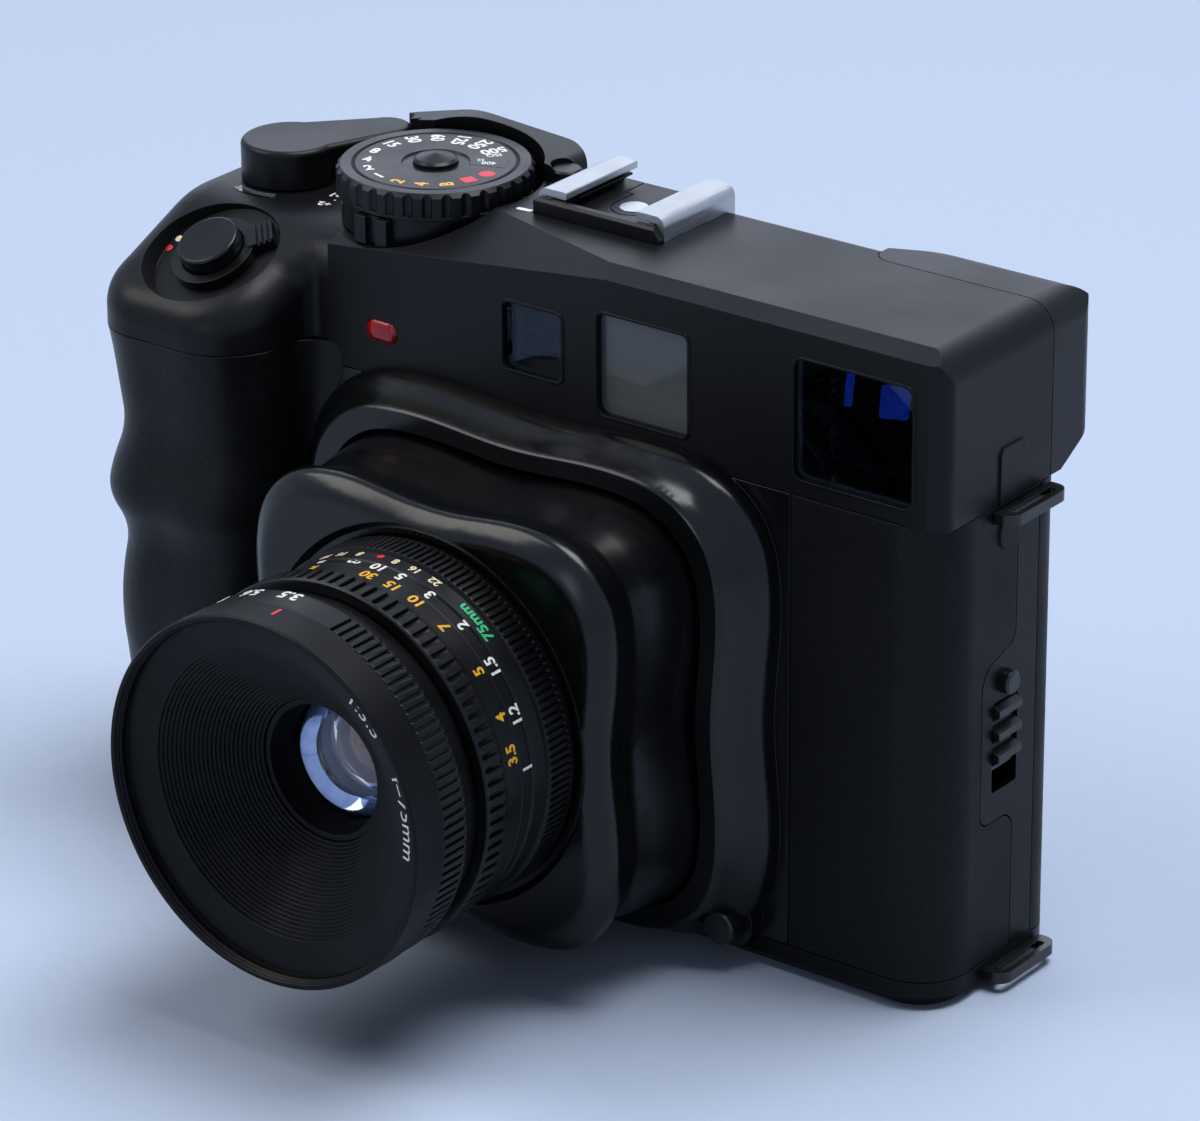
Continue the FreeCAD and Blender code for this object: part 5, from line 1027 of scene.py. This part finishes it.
@dataclass
class Studio:
    """Camera at the photograph's angle, soft lights and a pale floor."""

    eye: Point = (524.091, -685.678, 431.942)
    right: Point = (0.795254, 0.606233, -0.007189)
    up: Point = (-0.238938, 0.324292, 0.915283)
    ahead: Point = (-0.557206, 0.726165, -0.402747)
    focal: float = 177.0
    sensor: float = 36.0
    floor: float = 9.0
    room_light: float = 0.14
    # Name, place, aim and size in metres, power in watts, tint.
    lamps: tuple[tuple[str, Point, Point, Sheet, float, str], ...] = (
        ("soft_box_front_left", (-0.80, -0.58, 1.04), (0.0, 0.0, 0.05), (0.75, 0.75), 7.5,
         "#fffaf2"),
        ("soft_box_behind", (-0.75, 1.15, 0.75), (0.0, 0.0, 0.05), (1.4, 0.9), 4.5, "#eef3ff"),
        ("soft_box_overhead", (0.25, 0.25, 1.35), (0.0, 0.0, 0.05), (0.8, 0.8), 17.0, "#ffffff"),
        ("soft_box_front", (0.05, -1.30, 0.36), (0.0, -0.06, 0.045), (0.26, 0.34), 0.7,
         "#eaf1ff"),
    )

    def camera(self) -> None:
        """Sets the camera that the photograph was taken from."""
        data = bpy.data.cameras.new("photo_camera")
        data.lens = self.focal
        data.sensor_width = self.sensor
        data.sensor_fit = "HORIZONTAL"
        data.clip_start = 0.01
        item = bpy.data.objects.new("photo_camera", data)
        axes = Matrix((self.right, self.up, tuple(-c for c in self.ahead))).transposed()
        item.matrix_world = Matrix.Translation(Vector(self.eye) * MM) @ axes.to_4x4()
        bpy.context.scene.collection.objects.link(item)
        bpy.context.scene.camera = item

    def lamp(
        self, name: str, place: Point, aim: Point, size: Sheet, power: float, tint: str
    ) -> None:
        """Hangs one soft box.

        Args:
            name: its name.
            place: where it hangs, in metres.
            aim: the point it faces, in metres.
            size: width and height in metres.
            power: watts.
            tint: hex colour.
        """
        data = bpy.data.lights.new(name, "AREA")
        data.shape = "RECTANGLE"
        data.size, data.size_y = size
        data.energy = power
        data.color = linear(tint)[:3]
        item = bpy.data.objects.new(name, data)
        item.location = place
        item.rotation_euler = (Vector(aim) - Vector(place)).to_track_quat("-Z", "Y").to_euler()
        item.visible_camera = False
        bpy.context.scene.collection.objects.link(item)

    def surroundings(self) -> None:
        """Lights the room evenly and lays the floor."""
        world = bpy.data.worlds.new("studio_room")
        world.use_nodes = True
        tree = world.node_tree
        tree.nodes.clear()
        room, seen = (
            add_node(tree, "ShaderNodeBackground", {"Color": linear(tint), "Strength": strength})
            for tint, strength in (("#dfe6f0", self.room_light), (BACKDROP, 1.0))
        )
        layers = {0: looked_at(tree), 1: room.outputs[0], 2: seen.outputs[0]}
        mixed = add_node(tree, "ShaderNodeMixShader", layers)
        add_node(tree, "ShaderNodeOutputWorld", {"Surface": mixed.outputs[0]})
        bpy.context.scene.world = world
        bpy.context.scene.view_settings.view_transform = "Standard"
        half = self.floor / 2
        mesh = bpy.data.meshes.new("studio_floor")
        edges = [(-half, -half, 0.0), (half, -half, 0.0), (half, half, 0.0), (-half, half, 0.0)]
        mesh.from_pydata(edges, [], [(0, 1, 2, 3)])
        mesh.materials.append(PAPER.material())
        item = bpy.data.objects.new("studio_floor", mesh)
        bpy.context.scene.collection.objects.link(item)
        item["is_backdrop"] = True

    def build(self) -> None:
        """Sets up camera, lights and floor."""
        self.camera()
        self.surroundings()
        for lamp in self.lamps:
            self.lamp(*lamp)
        LOG.info("studio is set")


@dataclass
class BodyShell:
    """The castings, covers, grip, back and base of the camera."""

    def build(self) -> None:
        """Dresses the body's CAD nodes."""
        dress(BODY_PAINT, "base_plate", "latch_plate")
        dress(FRAME_PAINT, "front_cover")
        dress(CASTING, "body_casting", "film_chambers")
        dress(TOP_PAINT, "top_cover")
        dress(SKIN, "grip_cover")
        dress(PANEL_SKIN, "side_cover", "back_door")
        dress(LUG_BLACK, "strap_lug_upper", "strap_lug_lower", "latch_lock_button", "latch_slider")
        dress(LUG_BLACK, "hinge_brackets", "hinge_pin", "collapse_button", "curtain_knob")
        dress(PLASTIC, "finder_rear_cover", "battery_cap")
        dress(BRIGHT, "batteries", "tripod_bush", "film_roller_left", "film_roller_right")
        dress(NICKEL, "pressure_springs", "mount_flange")
        dress(CHASSIS, "take_up_spindle", "take_up_spool", "pressure_plate", "range_mirror_arm")


@dataclass
class MemoHolder:
    """The bent sheet frame on the back that holds a film carton's end."""

    centre: Sheet = (8.0, 44.0)
    size: Sheet = (58.0, 40.0)
    corner: float = 3.5
    back: float = 17.0
    # How far the rim grows and how far it stands off the back, in mm.
    rim: tuple[Sheet, ...] = (
        (0.0, -0.02), (0.0, 0.75), (-0.5, 1.0), (-3.0, 1.0),
        (-3.4, 0.85), (-3.4, 0.55), (-0.9, 0.55), (-0.9, -0.02),
    )

    def build(self) -> None:
        """Presses the frame: a closed rim rolled inward."""
        rows = [(grow, self.back + rise) for grow, rise in self.rim]
        shell = Shell()
        shell.loft(nested(self.centre, self.size, self.corner, rows, 0.6), tube=True)
        shell.piece("memo_holder", LUG_BLACK, "back_door", Slot.ANODISED)


@dataclass
class Windows:
    """Finder, illumination and range windows with their bezels and the lamp."""

    face: float = -17.0
    bezel: float = 0.55
    stand: float = 0.28
    # Left, right, low, high and corner radius of the three windows.
    frames: tuple[tuple[float, float, float, float, float], ...] = (
        (48.0, 69.6, 84.4, 103.9, 1.6),
        (10.8, 28.1, 85.9, 102.6, 1.2),
        (-7.6, 3.8, 89.2, 100.4, 1.0),
    )
    # Middle, width, height and corner radius of the two prism faces.
    prisms: tuple[tuple[Point, float, float, float], ...] = (
        ((63.9, -13.0, 99.3), 4.6, 5.0, 0.5),
        ((55.6, -13.0, 99.5), 1.3, 5.2, 0.2),
    )

    def bezels(self) -> None:
        """Puts a thin raised line round each window."""
        shell = Shell()
        section = ((0.0, -0.6), (0.0, 0.8), (0.35, 1.0), (0.75, 0.8), (1.0, -0.1))
        rows = [(grow * self.bezel, self.face - out * self.stand) for grow, out in section]
        for left, right, low, high, corner in self.frames:
            middle = (left + right) / 2, (low + high) / 2
            shell.loft(nested(middle, (right - left, high - low), corner, rows), tube=True)
        shell.piece("window_bezels", BODY_PAINT, "camera_body", Slot.SATIN_BLACK)

    def splitter(self) -> None:
        """Stands two coated prism faces behind the finder window."""
        facing = Vector((0.33, -0.86, 0.39)).normalized()
        along = facing.cross(Vector((0.0, 0.0, 1.0))).normalized() * -1.0
        up = facing.cross(along)
        shell = Shell()
        for middle, width, height, corner in self.prisms:
            outline = rounded(0, 0, width, height, corner)
            shell.slab(outline, plane(middle, along, up, facing), -0.15, 0.0)
        shell.piece("finder_splitter_faces", SPLITTER, "camera_body", Slot.GLASS)

    def lamp_lens(self) -> None:
        """Moulds the domed lens of the timer lamp."""
        low, high = (Vector(corner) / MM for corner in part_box("timer_lamp"))
        middle, size = (low + high) / 2, high - low
        dome = (
            (0.0, -1.0), (0.0, 0.1), (-0.25, 0.32), (-0.7, 0.5), (-1.2, 0.58), (-1.6, 0.6)
        )
        rows = [(grow, self.face - out) for grow, out in dome]
        shell = Shell()
        shell.loft(nested(middle.xz, size.xz, 1.75, rows, 0.15), ends=True)
        lens = shell.piece("timer_lamp_lens", LAMP, "camera_body", Slot.LAMP, 50.0)
        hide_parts("timer_lamp")

    def range_mask(self) -> None:
        """Puts the dark stepped mask inside the range window."""
        rows = ((0.0, -14.98), (-2.1, -14.98), (-2.1, -14.5), (0.0, -14.5))
        shell = Shell()
        shell.loft(nested((-1.9, 94.8), (11.2, 11.0), 0.9, rows, 0.3), tube=True)
        shell.piece("range_window_mask", CHASSIS, "camera_body", Slot.PLASTIC)

    def build(self) -> None:
        """Builds the window pieces."""
        dress(WINDOW_GLASS, "finder_window", "rangefinder_window", "eyepiece_lens")
        dress(OPTICS, "finder_optics")
        dress(FROSTED, "illumination_window")
        dress(CHASSIS, "finder_chassis")
        dress(EYECUP, "eyepiece_ring")
        self.bezels()
        self.splitter()
        self.lamp_lens()
        self.range_mask()


@dataclass
class ShutterDial:
    """The dial with its engraved speeds, film speed window, cap and index."""

    top: float = 112.3
    tall: float = 2.15
    index_level: float = 109.6
    # Angles of the film speed window's sides, and its inner and outer radius.
    window: tuple[Sheet, Sheet] = ((19.0, 43.0), (5.6, 11.6))
    # Text, angle in degrees and radius of each speed.
    white: tuple[tuple[str, float, float], ...] = (
        ("1", -106.0, 11.0), ("2", -127.2, 11.0), ("4", -148.4, 11.0), ("8", -169.6, 11.0),
        ("15", 169.2, 10.8), ("30", 148.0, 10.8), ("60", 126.8, 10.8), ("125", 105.6, 10.2),
        ("250", 84.4, 10.2), ("500", 63.2, 10.15),
    )
    yellow: tuple[tuple[str, float, float], ...] = (
        ("B", -42.4, 10.95), ("4", -63.6, 10.95), ("2", -84.8, 10.95),
    )

    def radial(self, angle: float, radius: float) -> Mapper:
        """Gives the mapper for a figure that is read towards the dial's middle."""
        return around(DIAL_CENTRE, radius, angle, self.top, 180.0)

    def speeds(self) -> None:
        """Writes the speeds."""
        for name, finish, slot, marks in (
            ("dial_figures_white", WHITE, Slot.WHITE, self.white),
            ("dial_figures_yellow", YELLOW, Slot.YELLOW, self.yellow),
        ):
            letters = Lettering()
            for text, angle, radius in marks:
                letters.write(text, self.tall, self.radial(angle, radius), 0.035, 0.95)
            letters.shell.piece(name, finish, "shutter_dial", slot)

    def signs(self) -> None:
        """Adds the red circle and the red square."""
        shell = Shell()
        shell.slab(disc(1.35, 24), self.radial(0.0, 10.4))
        shell.slab(rounded(0, 0, 2.3, 2.3, 0.3), self.radial(-21.2, 10.4))
        shell.piece("dial_marks_red", RED, "shutter_dial", Slot.RED)

    def film_speed(self) -> None:
        """Adds the dark film speed window with its figures."""
        (low, high), (inner, outer) = self.window
        low, high = math.radians(low), math.radians(high)
        outline = arc(inner, low, high, 8) + arc(outer, high, low, 12)
        shell = Shell()
        shell.slab(outline[::-1], deck(DIAL_CENTRE, self.top), SUNK, 0.025)
        shell.piece("film_speed_window", COVER_BLACK, "shutter_dial", Slot.PLASTIC)
        letters = Lettering(proud=0.05)
        letters.write("400", 1.25, self.radial(28.5, 8.6))
        letters.write("32", 1.0, self.radial(38.0, 7.2))
        letters.write("ISO", 1.3, self.radial(51.5, 9.5))
        letters.shell.piece("film_speed_figures", WHITE, "shutter_dial", Slot.WHITE)

    def index(self) -> None:
        """Adds the white index mark beside the dial."""
        shell = Shell()
        lie = deck((-14.3, -2.75), self.index_level, math.atan2(0.3, 2.8))
        shell.slab(rounded(0, 0, 2.9, 0.95, 0.45), lie)
        shell.piece("dial_index_mark", WHITE, "camera_body", Slot.WHITE)

    def build(self) -> None:
        """Builds the dial's pieces."""
        dress(DIAL_BLACK, "shutter_dial", "dial_cap", "compensation_ring")
        self.speeds()
        self.signs()
        self.film_speed()
        self.index()


@dataclass
class TopControls:
    """Advance lever, counter, release, battery check button and marks."""

    counter_level: float = 99.4
    counter_radius: float = 9.1
    deck_level: float = 102.8
    scale_radius: float = 19.3
    dot_radius: float = 18.4
    stops: Marks = (("+2", 198.0), ("+1", 185.5), ("0", 173.0), ("-1", 160.5), ("-2", 148.0))

    def counter_figures(self) -> None:
        """Writes the frame numbers on the counter disc, tops outward."""
        letters = Lettering()
        for k in range(13):
            place = around(
                COUNTER_CENTRE, self.counter_radius, -90.0 + 27.0 * k, self.counter_level, -90.0
            )
            letters.write(str(k) if k else "S", 1.5, place)
        letters.shell.piece("counter_figures", WHITE, "counter_disc", Slot.WHITE)

    def mode_dots(self) -> None:
        """Sets the white and red dots in the bowl round the release."""
        tilt = Vector((-0.06, -0.48, 0.87)).normalized()
        across = Vector((1.0, 0.0, 0.0)).cross(tilt).normalized()
        along = across.cross(tilt)
        for name, finish, slot, spot in (
            ("release_dot_white", CREAM, Slot.WHITE, (-72.75, -18.75, 96.59)),
            ("release_dot_red", RED, Slot.RED, (-73.2, -20.7, 95.49)),
        ):
            place = plane(spot, along, across, tilt)
            dome = ((0.66, -0.05), (0.64, 0.04), (0.45, 0.09), (0.12, 0.11))
            shell = Shell()
            shell.loft([[place(x, y, h) for x, y in disc(r, 24)] for r, h in dome], ends=True)
            shell.piece(name, finish, "camera_body", slot)

    def compensation_scale(self) -> None:
        """Writes the exposure compensation scale on the deck beside the dial."""
        letters = Lettering()
        for text, angle in self.stops:
            place = around(DIAL_CENTRE, self.scale_radius, angle, self.deck_level)
            letters.write(text, 1.5, place, 0.035, 1.0)
        for k in range(4):
            angle = 191.75 - 12.5 * k
            spot = around(DIAL_CENTRE, self.dot_radius, angle, self.deck_level, -angle)
            letters.shell.slab(disc(0.2, 12), spot)
        letters.shell.piece("compensation_figures", WHITE, "camera_body", Slot.WHITE)

    def build(self) -> None:
        """Builds the top's pieces."""
        self.mode_dots()
        self.compensation_scale()
        dress(TOP_PAINT, "advance_lever")
        dress(DIAL_BLACK, "counter_disc", "battery_check_button")
        dress(RELEASE_BLACK, "release_collar", "release_button")
        dress(COVER_GLASS, "counter_window")
        self.counter_figures()


@dataclass
class AccessoryShoe:
    """The bright rails, dark bed and contact of the accessory shoe."""

    def build(self) -> None:
        """Dresses the shoe."""
        dress(NICKEL, "shoe_rails")
        dress(PLASTIC, "shoe_base")
        dress(BRIGHT, "shoe_contact")


@dataclass(frozen=True)
class Scale:
    """Figures round a ring: angles from the top in degrees, sizes in mm."""

    name: str
    finish: Finish
    body: str
    slot: Slot
    station: float
    tall: float
    marks: Marks
    radius: float = 28.9
    bold: float = 0.03
    squeeze: float = 0.95


SCALES = (
    Scale("distance_figures_metres", WHITE, "focus_ring", Slot.WHITE, -58.4, 2.0, (
        ("∞", -8.4), ("10", 0.7), ("5", 9.6), ("3", 21.1), ("2", 35.2), ("1.5", 50.3),
        ("1.2", 66.2), ("1", 83.4),
    )),
    Scale("distance_figures_feet", YELLOW, "focus_ring", Slot.YELLOW, -61.5, 2.0, (
        ("30", 2.0), ("15", 11.2), ("10", 20.5), ("7", 32.8), ("5", 49.9), ("4", 65.1),
        ("3.5", 77.0),
    )),
    Scale("depth_figures", CREAM, "lens_mount", Slot.WHITE, -55.2, 1.5, (
        ("22", 17.7), ("16", 9.6), ("8", 2.5), ("8", -11.5), ("16", -19.3), ("22", -26.0),
    )),
    Scale("aperture_figures", WHITE, "aperture_ring", Slot.WHITE, -76.0, 2.35, (
        ("3.5", -4.0), ("5.6", -19.0), ("8", -31.0), ("11", -42.0), ("16", -53.0),
        ("22", -64.5),
    ), radius=29.9),
    Scale(
        "focal_length_green", GREEN, "lens_mount", Slot.GREEN, -55.6, 1.9, (("75mm", 36.2),),
        squeeze=1.05,
    ),
    Scale(
        "unit_metres", WHITE, "focus_ring", Slot.WHITE, -58.4, 1.5, (("m", -22.0),),
        bold=0.02, squeeze=0.9,
    ),
    Scale(
        "unit_feet", YELLOW, "focus_ring", Slot.YELLOW, -61.5, 1.9, (("ft", -20.0),),
        bold=0.02, squeeze=0.9,
    ),
)


@dataclass(frozen=True)
class GripRing:
    """A ring with grip ribs: radius, station and groove depth at each corner."""

    name: str
    node: str
    body: str
    ribs: int
    land: float
    profile: tuple[Point, ...]
    smooth: Sheet = UNBROKEN


GRIP_RINGS = (
    # 120 ribs on a 59.8 mm ring: a pitch of 1.57 mm.
    GripRing("aperture_ring_ribbed", "aperture_ring", "aperture_ring", 120, 0.58, (
        (26.3, -80.1, 0.0), (29.5, -80.1, 0.0), (29.75, -79.95, 0.0), (29.9, -79.7, 0.15),
        (29.9, -79.45, 0.6), (29.9, -75.1, 0.6), (29.9, -74.75, 0.1), (29.8, -74.4, 0.0),
        (29.4, -74.2, 0.0), (26.3, -74.2, 0.0),
    ), (-96.0, 15.5)),
    # 88 ribs on a 59.8 mm ring: a pitch of 2.13 mm.
    GripRing("focus_ring_ribbed", "focus_ring", "focus_ring", 88, 0.60, (
        (25.8, -69.55, 0.0), (29.2, -69.55, 0.0), (29.6, -69.45, 0.0), (29.85, -69.2, 0.0),
        (29.9, -68.8, 0.1), (29.9, -68.4, 0.5), (29.9, -68.0, 0.7), (29.9, -65.1, 0.7),
        (29.7, -64.8, 0.45), (28.95, -64.6, 0.0), (28.9, -64.4, 0.0), (28.9, -63.2, 0.0),
        (28.9, -60.1, 0.0), (28.84, -60.05, 0.0), (28.84, -59.95, 0.0), (28.9, -59.9, 0.0),
        (28.9, -57.8, 0.0), (28.7, -57.5, 0.0), (25.8, -57.5, 0.0),
    )),
    # 150 ribs on a 59 mm ring: a pitch of 1.24 mm.
    GripRing("lens_barrel_ribbed", "lens_barrel", "lens_mount", 150, 0.55, (
        (25.5, -57.2, 0.0), (28.5, -57.2, 0.0), (28.8, -56.9, 0.0), (28.9, -54.1, 0.0),
        (28.7, -53.9, 0.0), (29.1, -53.75, 0.0), (29.45, -53.6, 0.0), (29.5, -53.3, 0.3),
        (29.5, -53.0, 0.6), (29.5, -48.7, 0.6), (29.5, -48.4, 0.2), (29.3, -47.9, 0.0),
        (28.0, -47.75, 0.0), (23.1, -47.75, 0.0), (23.1, -42.7, 0.0), (22.0, -33.7, 0.0),
        (19.5, -33.7, 0.0), (19.5, -48.7, 0.0), (25.5, -49.3, 0.0),
    )),
)


@dataclass
class Lens:
    """The collar, barrels, scales, front ring and glass."""

    front: float = -86.8
    rear: float = -80.4
    thread_floor: float = -84.5
    # A 58 mm filter thread has a pitch of 0.75 mm.
    thread_pitch: float = 0.75
    # Mouth and throat of the baffle cone: radius and station.
    mouth: Sheet = (24.0, -83.2)
    throat: Sheet = (11.6, -72.0)
    baffle_ribs: int = 25
    # The sloping band inside the rim: radius of its figures, width and depth.
    band_radius: float = 26.2
    band_fall: Sheet = (4.2, 1.3)
    pleats: int = 12
    cloth: float = 0.5
    rows: tuple[Scale, ...] = SCALES
    rings: tuple[GripRing, ...] = GRIP_RINGS

    def wrap(self, angle: float, station: float, radius: float) -> Mapper:
        """Gives the mapper for figures that stand round a ring.

        Args:
            angle: degrees from the top towards +X.
            station: place along the lens, in mm.
            radius: the ring's radius in mm.

        Returns:
            The mapper.
        """

        def place(x: float, y: float, out: float) -> Point:
            """Text coordinates to the ring."""
            return off_axis(radius + out, math.radians(angle) - x / radius, station - y)

        return place

    def band(self, angle: float) -> Mapper:
        """Gives the mapper for figures on the sloping band inside the rim.

        Args:
            angle: degrees from the top towards +X.

        Returns:
            The mapper.
        """
        (start, level), (width, fall) = self.mouth, self.band_fall

        def place(x: float, y: float, out: float) -> Point:
            """Text coordinates to the band."""
            reach, turn = self.band_radius + y, math.radians(angle) + x / self.band_radius
            return off_axis(reach, turn, level - (reach - start) / width * fall - out)

        return place

    def scales(self) -> None:
        """Writes the distance, depth and aperture scales."""
        for row in self.rows:
            letters = Lettering()
            for text, angle in row.marks:
                place = self.wrap(angle, row.station, row.radius)
                letters.write(text, row.tall, place, row.bold, row.squeeze)
            letters.shell.piece(row.name, row.finish, row.body, row.slot)
        ring = Lettering()
        ring.write("1:3.5", 2.5, self.band(45.0), 0.0, 1.15)
        ring.write("f=75mm", 2.5, self.band(81.5), 0.0, 1.15)
        ring.shell.piece("front_ring_figures", WHITE, "front_group", Slot.WHITE)

    def red_marks(self) -> None:
        """Adds the red index line and dot."""
        line = Shell()
        line.slab(rounded(0, 0, 0.55, 2.2, 0.1), self.wrap(0.9, -82.2, 30.1))
        line.piece("aperture_index_line", RED, "front_group", Slot.RED)
        dot = Shell()
        dot.slab(disc(0.6, 20), self.wrap(-3.6, -55.0, 28.9), SUNK, 0.04)
        dot.piece("depth_index_dot", RED, "lens_mount", Slot.RED)

    def front_ring(self) -> None:
        """Turns the front ring: filter thread, smooth band and ribbed baffle."""
        profile: list[Sheet] = [(30.1, self.rear), (30.1, self.front + 0.35), (29.8, self.front)]
        profile += [(29.25, self.front), (29.05, self.front + 0.2)]
        crest, root = 28.75, 29.05
        station = self.front + 0.35
        while station < self.thread_floor - 0.5:
            profile += [(root, station), (crest, station + 0.3), (crest, station + 0.4)]
            station += self.thread_pitch
        profile += [(28.6, self.thread_floor), (28.2, self.thread_floor), self.mouth]
        radius, depth = self.mouth
        ribs = self.baffle_ribs
        # The rib pitch follows from the cone: 12.4 mm of radius over 25 ribs.
        for _ in range(ribs):
            radius -= (self.mouth[0] - self.throat[0]) / ribs
            profile += [(radius + 0.10, depth + 0.04), (radius, depth + 0.18)]
            depth += (self.throat[1] - self.mouth[1]) / ribs
            profile.append((radius, depth))
        profile += [(11.6, -71.4), (13.5, -71.4), (26.5, self.rear)]
        shell = Shell()
        shell.turned(profile, 216)
        ring = shell.piece("front_ring_turned", RIM_BLACK, "front_group", Slot.ANODISED, 25.0)
        self.hood_slot(ring)
        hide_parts("front_ring")

    def element(
        self, name: str, finish: Finish, front: Sheet, back: Sheet, radius: float
    ) -> bpy.types.Object:
        """Grinds one lens element.

        Args:
            name: its name.
            finish: its glass and coating.
            front: station and radius of curvature of the front face; a hollow
                face is negative.
            back: the same for the back face, positive where its centre lies behind.
            radius: half its diameter.

        Returns:
            The new object.
        """
        reaches = [0.05] + [radius * k / 16 for k in range(1, 17)]
        angles = [math.tau * k / 96 for k in range(96)]
        rings: list[list[Point]] = []
        for (station, curve), face in ((front, reaches), (back, reaches[::-1])):
            for reach in face:
                sag = math.copysign(abs(curve) - math.sqrt(curve * curve - reach * reach), curve)
                rings.append([off_axis(reach, angle, station + sag) for angle in angles])
        shell = Shell()
        shell.loft(rings, ends=True)
        return shell.piece(name, finish, "front_group", Slot.GLASS, 50.0)

    def glasses(self) -> None:
        """Grinds the four elements, two before and two behind the iris."""
        first = self.element("front_element", FRONT_GLASS, (-69.0, 20.0), (-66.2, 34.0), 9.9)
        self.element("second_element", AMBER_GLASS, (-65.4, 16.0), (-62.4, 11.5), 6.5)
        self.element("third_element", FRONT_GLASS, (-51.8, -13.0), (-50.0, -26.0), 7.9)
        self.element("rear_element", AMBER_GLASS, (-46.6, 60.0), (-41.6, -24.0), 8.9)
        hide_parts("lens_elements")
        retainer = Shell()
        retainer.turned([(9.5, -64.4), (6.6, -62.5), (6.6, -62.2), (9.5, -62.2)])
        retainer.piece("polished_retaining_ring", MIRROR_COAT, "front_group", Slot.STEEL, 25.0)

    def shutter_leaves(self) -> None:
        """Closes the five shutter leaves behind the third element."""
        shell = Shell()
        for leaf in range(5):
            first = math.tau * leaf / 5
            outline = [polar(0.9, first - 2.2)]
            outline += arc(8.9, first, first + math.radians(96.0), 12)
            middle = (0.0, -48.9 + 0.09 * leaf, LENS_AXIS)
            stand = plane(middle, (1.0, 0.0, 0.0), (0.0, 0.0, 1.0), (0.0, -1.0, 0.0))
            shell.slab(outline, stand, 0.0, 0.07)
        shell.piece("shutter_leaves", BLADE_STEEL, "front_group", Slot.STEEL)

    def hood_slot(self, ring: bpy.types.Object) -> None:
        """Mills the bayonet slot for a hood into the front ring.

        Args:
            ring: the turned front ring.
        """
        section = ((29.35, -84.95), (30.8, -84.95), (30.8, -83.95), (29.35, -83.95))
        angles = [math.radians(47.0 + 16.6 * k / 12) for k in range(13)]
        tool = Shell()
        tool.loft([[off_axis(r, angle, y) for r, y in section] for angle in angles], ends=True)
        mesh = tool.mesh("slot_tool")
        cutter = bpy.data.objects.new("slot_tool", mesh)
        bpy.context.scene.collection.objects.link(cutter)
        step = ring.modifiers.new("slot", "BOOLEAN")
        step.object = cutter
        step.solver = "EXACT"
        graph = bpy.context.evaluated_depsgraph_get()
        milled = bpy.data.meshes.new_from_object(ring.evaluated_get(graph))
        ring.modifiers.clear()
        ring.data = milled
        bpy.data.objects.remove(cutter)
        bpy.data.meshes.remove(mesh)

    def folds(self) -> None:
        """Folds the bellows behind the mount."""
        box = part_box("bellows")
        front, rear, wide = box[0][1] / MM, box[1][1] / MM, box[1][0] / MM
        outer: list[list[Point]] = []
        inner: list[list[Point]] = []
        for k in range(2 * self.pleats + 1):
            share = k / (2 * self.pleats)
            half = wide - 5.2 * (1.0 - share) ** 0.8 - (0.3 + 1.4 * share if k % 2 else 0.1)
            corner = 7.5 - 5.5 * share
            station = front + (rear - front) * share
            for side, inset in ((outer, 0.0), (inner, self.cloth)):
                whole = 2 * (half - inset)
                outline = rounded(0.0, LENS_AXIS, whole, whole, corner - inset)
                side.append(upright(outline, station))
        shell = Shell()
        shell.loft(outer + inner[::-1], tube=True)
        cloth = shell.piece("bellows_folds", CLOTH, "camera_body", Slot.CLOTH, 20.0)
        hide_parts("bellows")
        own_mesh(cloth)

    def grip_rings(self) -> None:
        """Turns the aperture, focusing and mount rings with their grip ribs."""
        for row in self.rings:
            shell = Shell()
            shell.ribbed(row.profile, row.ribs, row.land, row.smooth)
            ring = shell.piece(row.name, LENS_BLACK, row.body, Slot.ANODISED, 30.0)
            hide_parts(row.node)

    def build(self) -> None:
        """Builds the lens's pieces."""
        dress(FRAME_PAINT, "lens_collar")
        dress(LENS_BLACK, "front_barrel")
        self.grip_rings()
        dress(RIM_BLACK, "front_cell", "shutter_unit")
        dress(BLADE_STEEL, "iris_blades")
        self.glasses()
        self.shutter_leaves()
        self.folds()
        self.front_ring()
        self.scales()
        self.red_marks()


def clear_strays() -> None:
    """Removes objects that the start-up file brought along."""
    kept = set(frame["nodes"].values()) | set(frame["bodies"].values())
    for item in list(bpy.data.objects):
        if item not in kept:
            bpy.data.objects.remove(item)


def corners(box: Sequence[Iterable[float]]) -> list[list[float]]:
    """Turns a box into plain lists."""
    return [[float(c) for c in corner] for corner in box]


def main() -> None:
    """Builds and dresses the camera."""
    logging.basicConfig(level=logging.INFO, format="%(name)s: %(message)s")
    clear_strays()
    cad_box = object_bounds()
    for part in (
        Studio(), BodyShell(), MemoHolder(), Windows(),
        ShutterDial(), TopControls(), AccessoryShoe(), Lens(),
    ):
        part.build()
    {"cad": corners(cad_box), "visual": corners(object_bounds())}


if __name__ == "__main__":
    main()
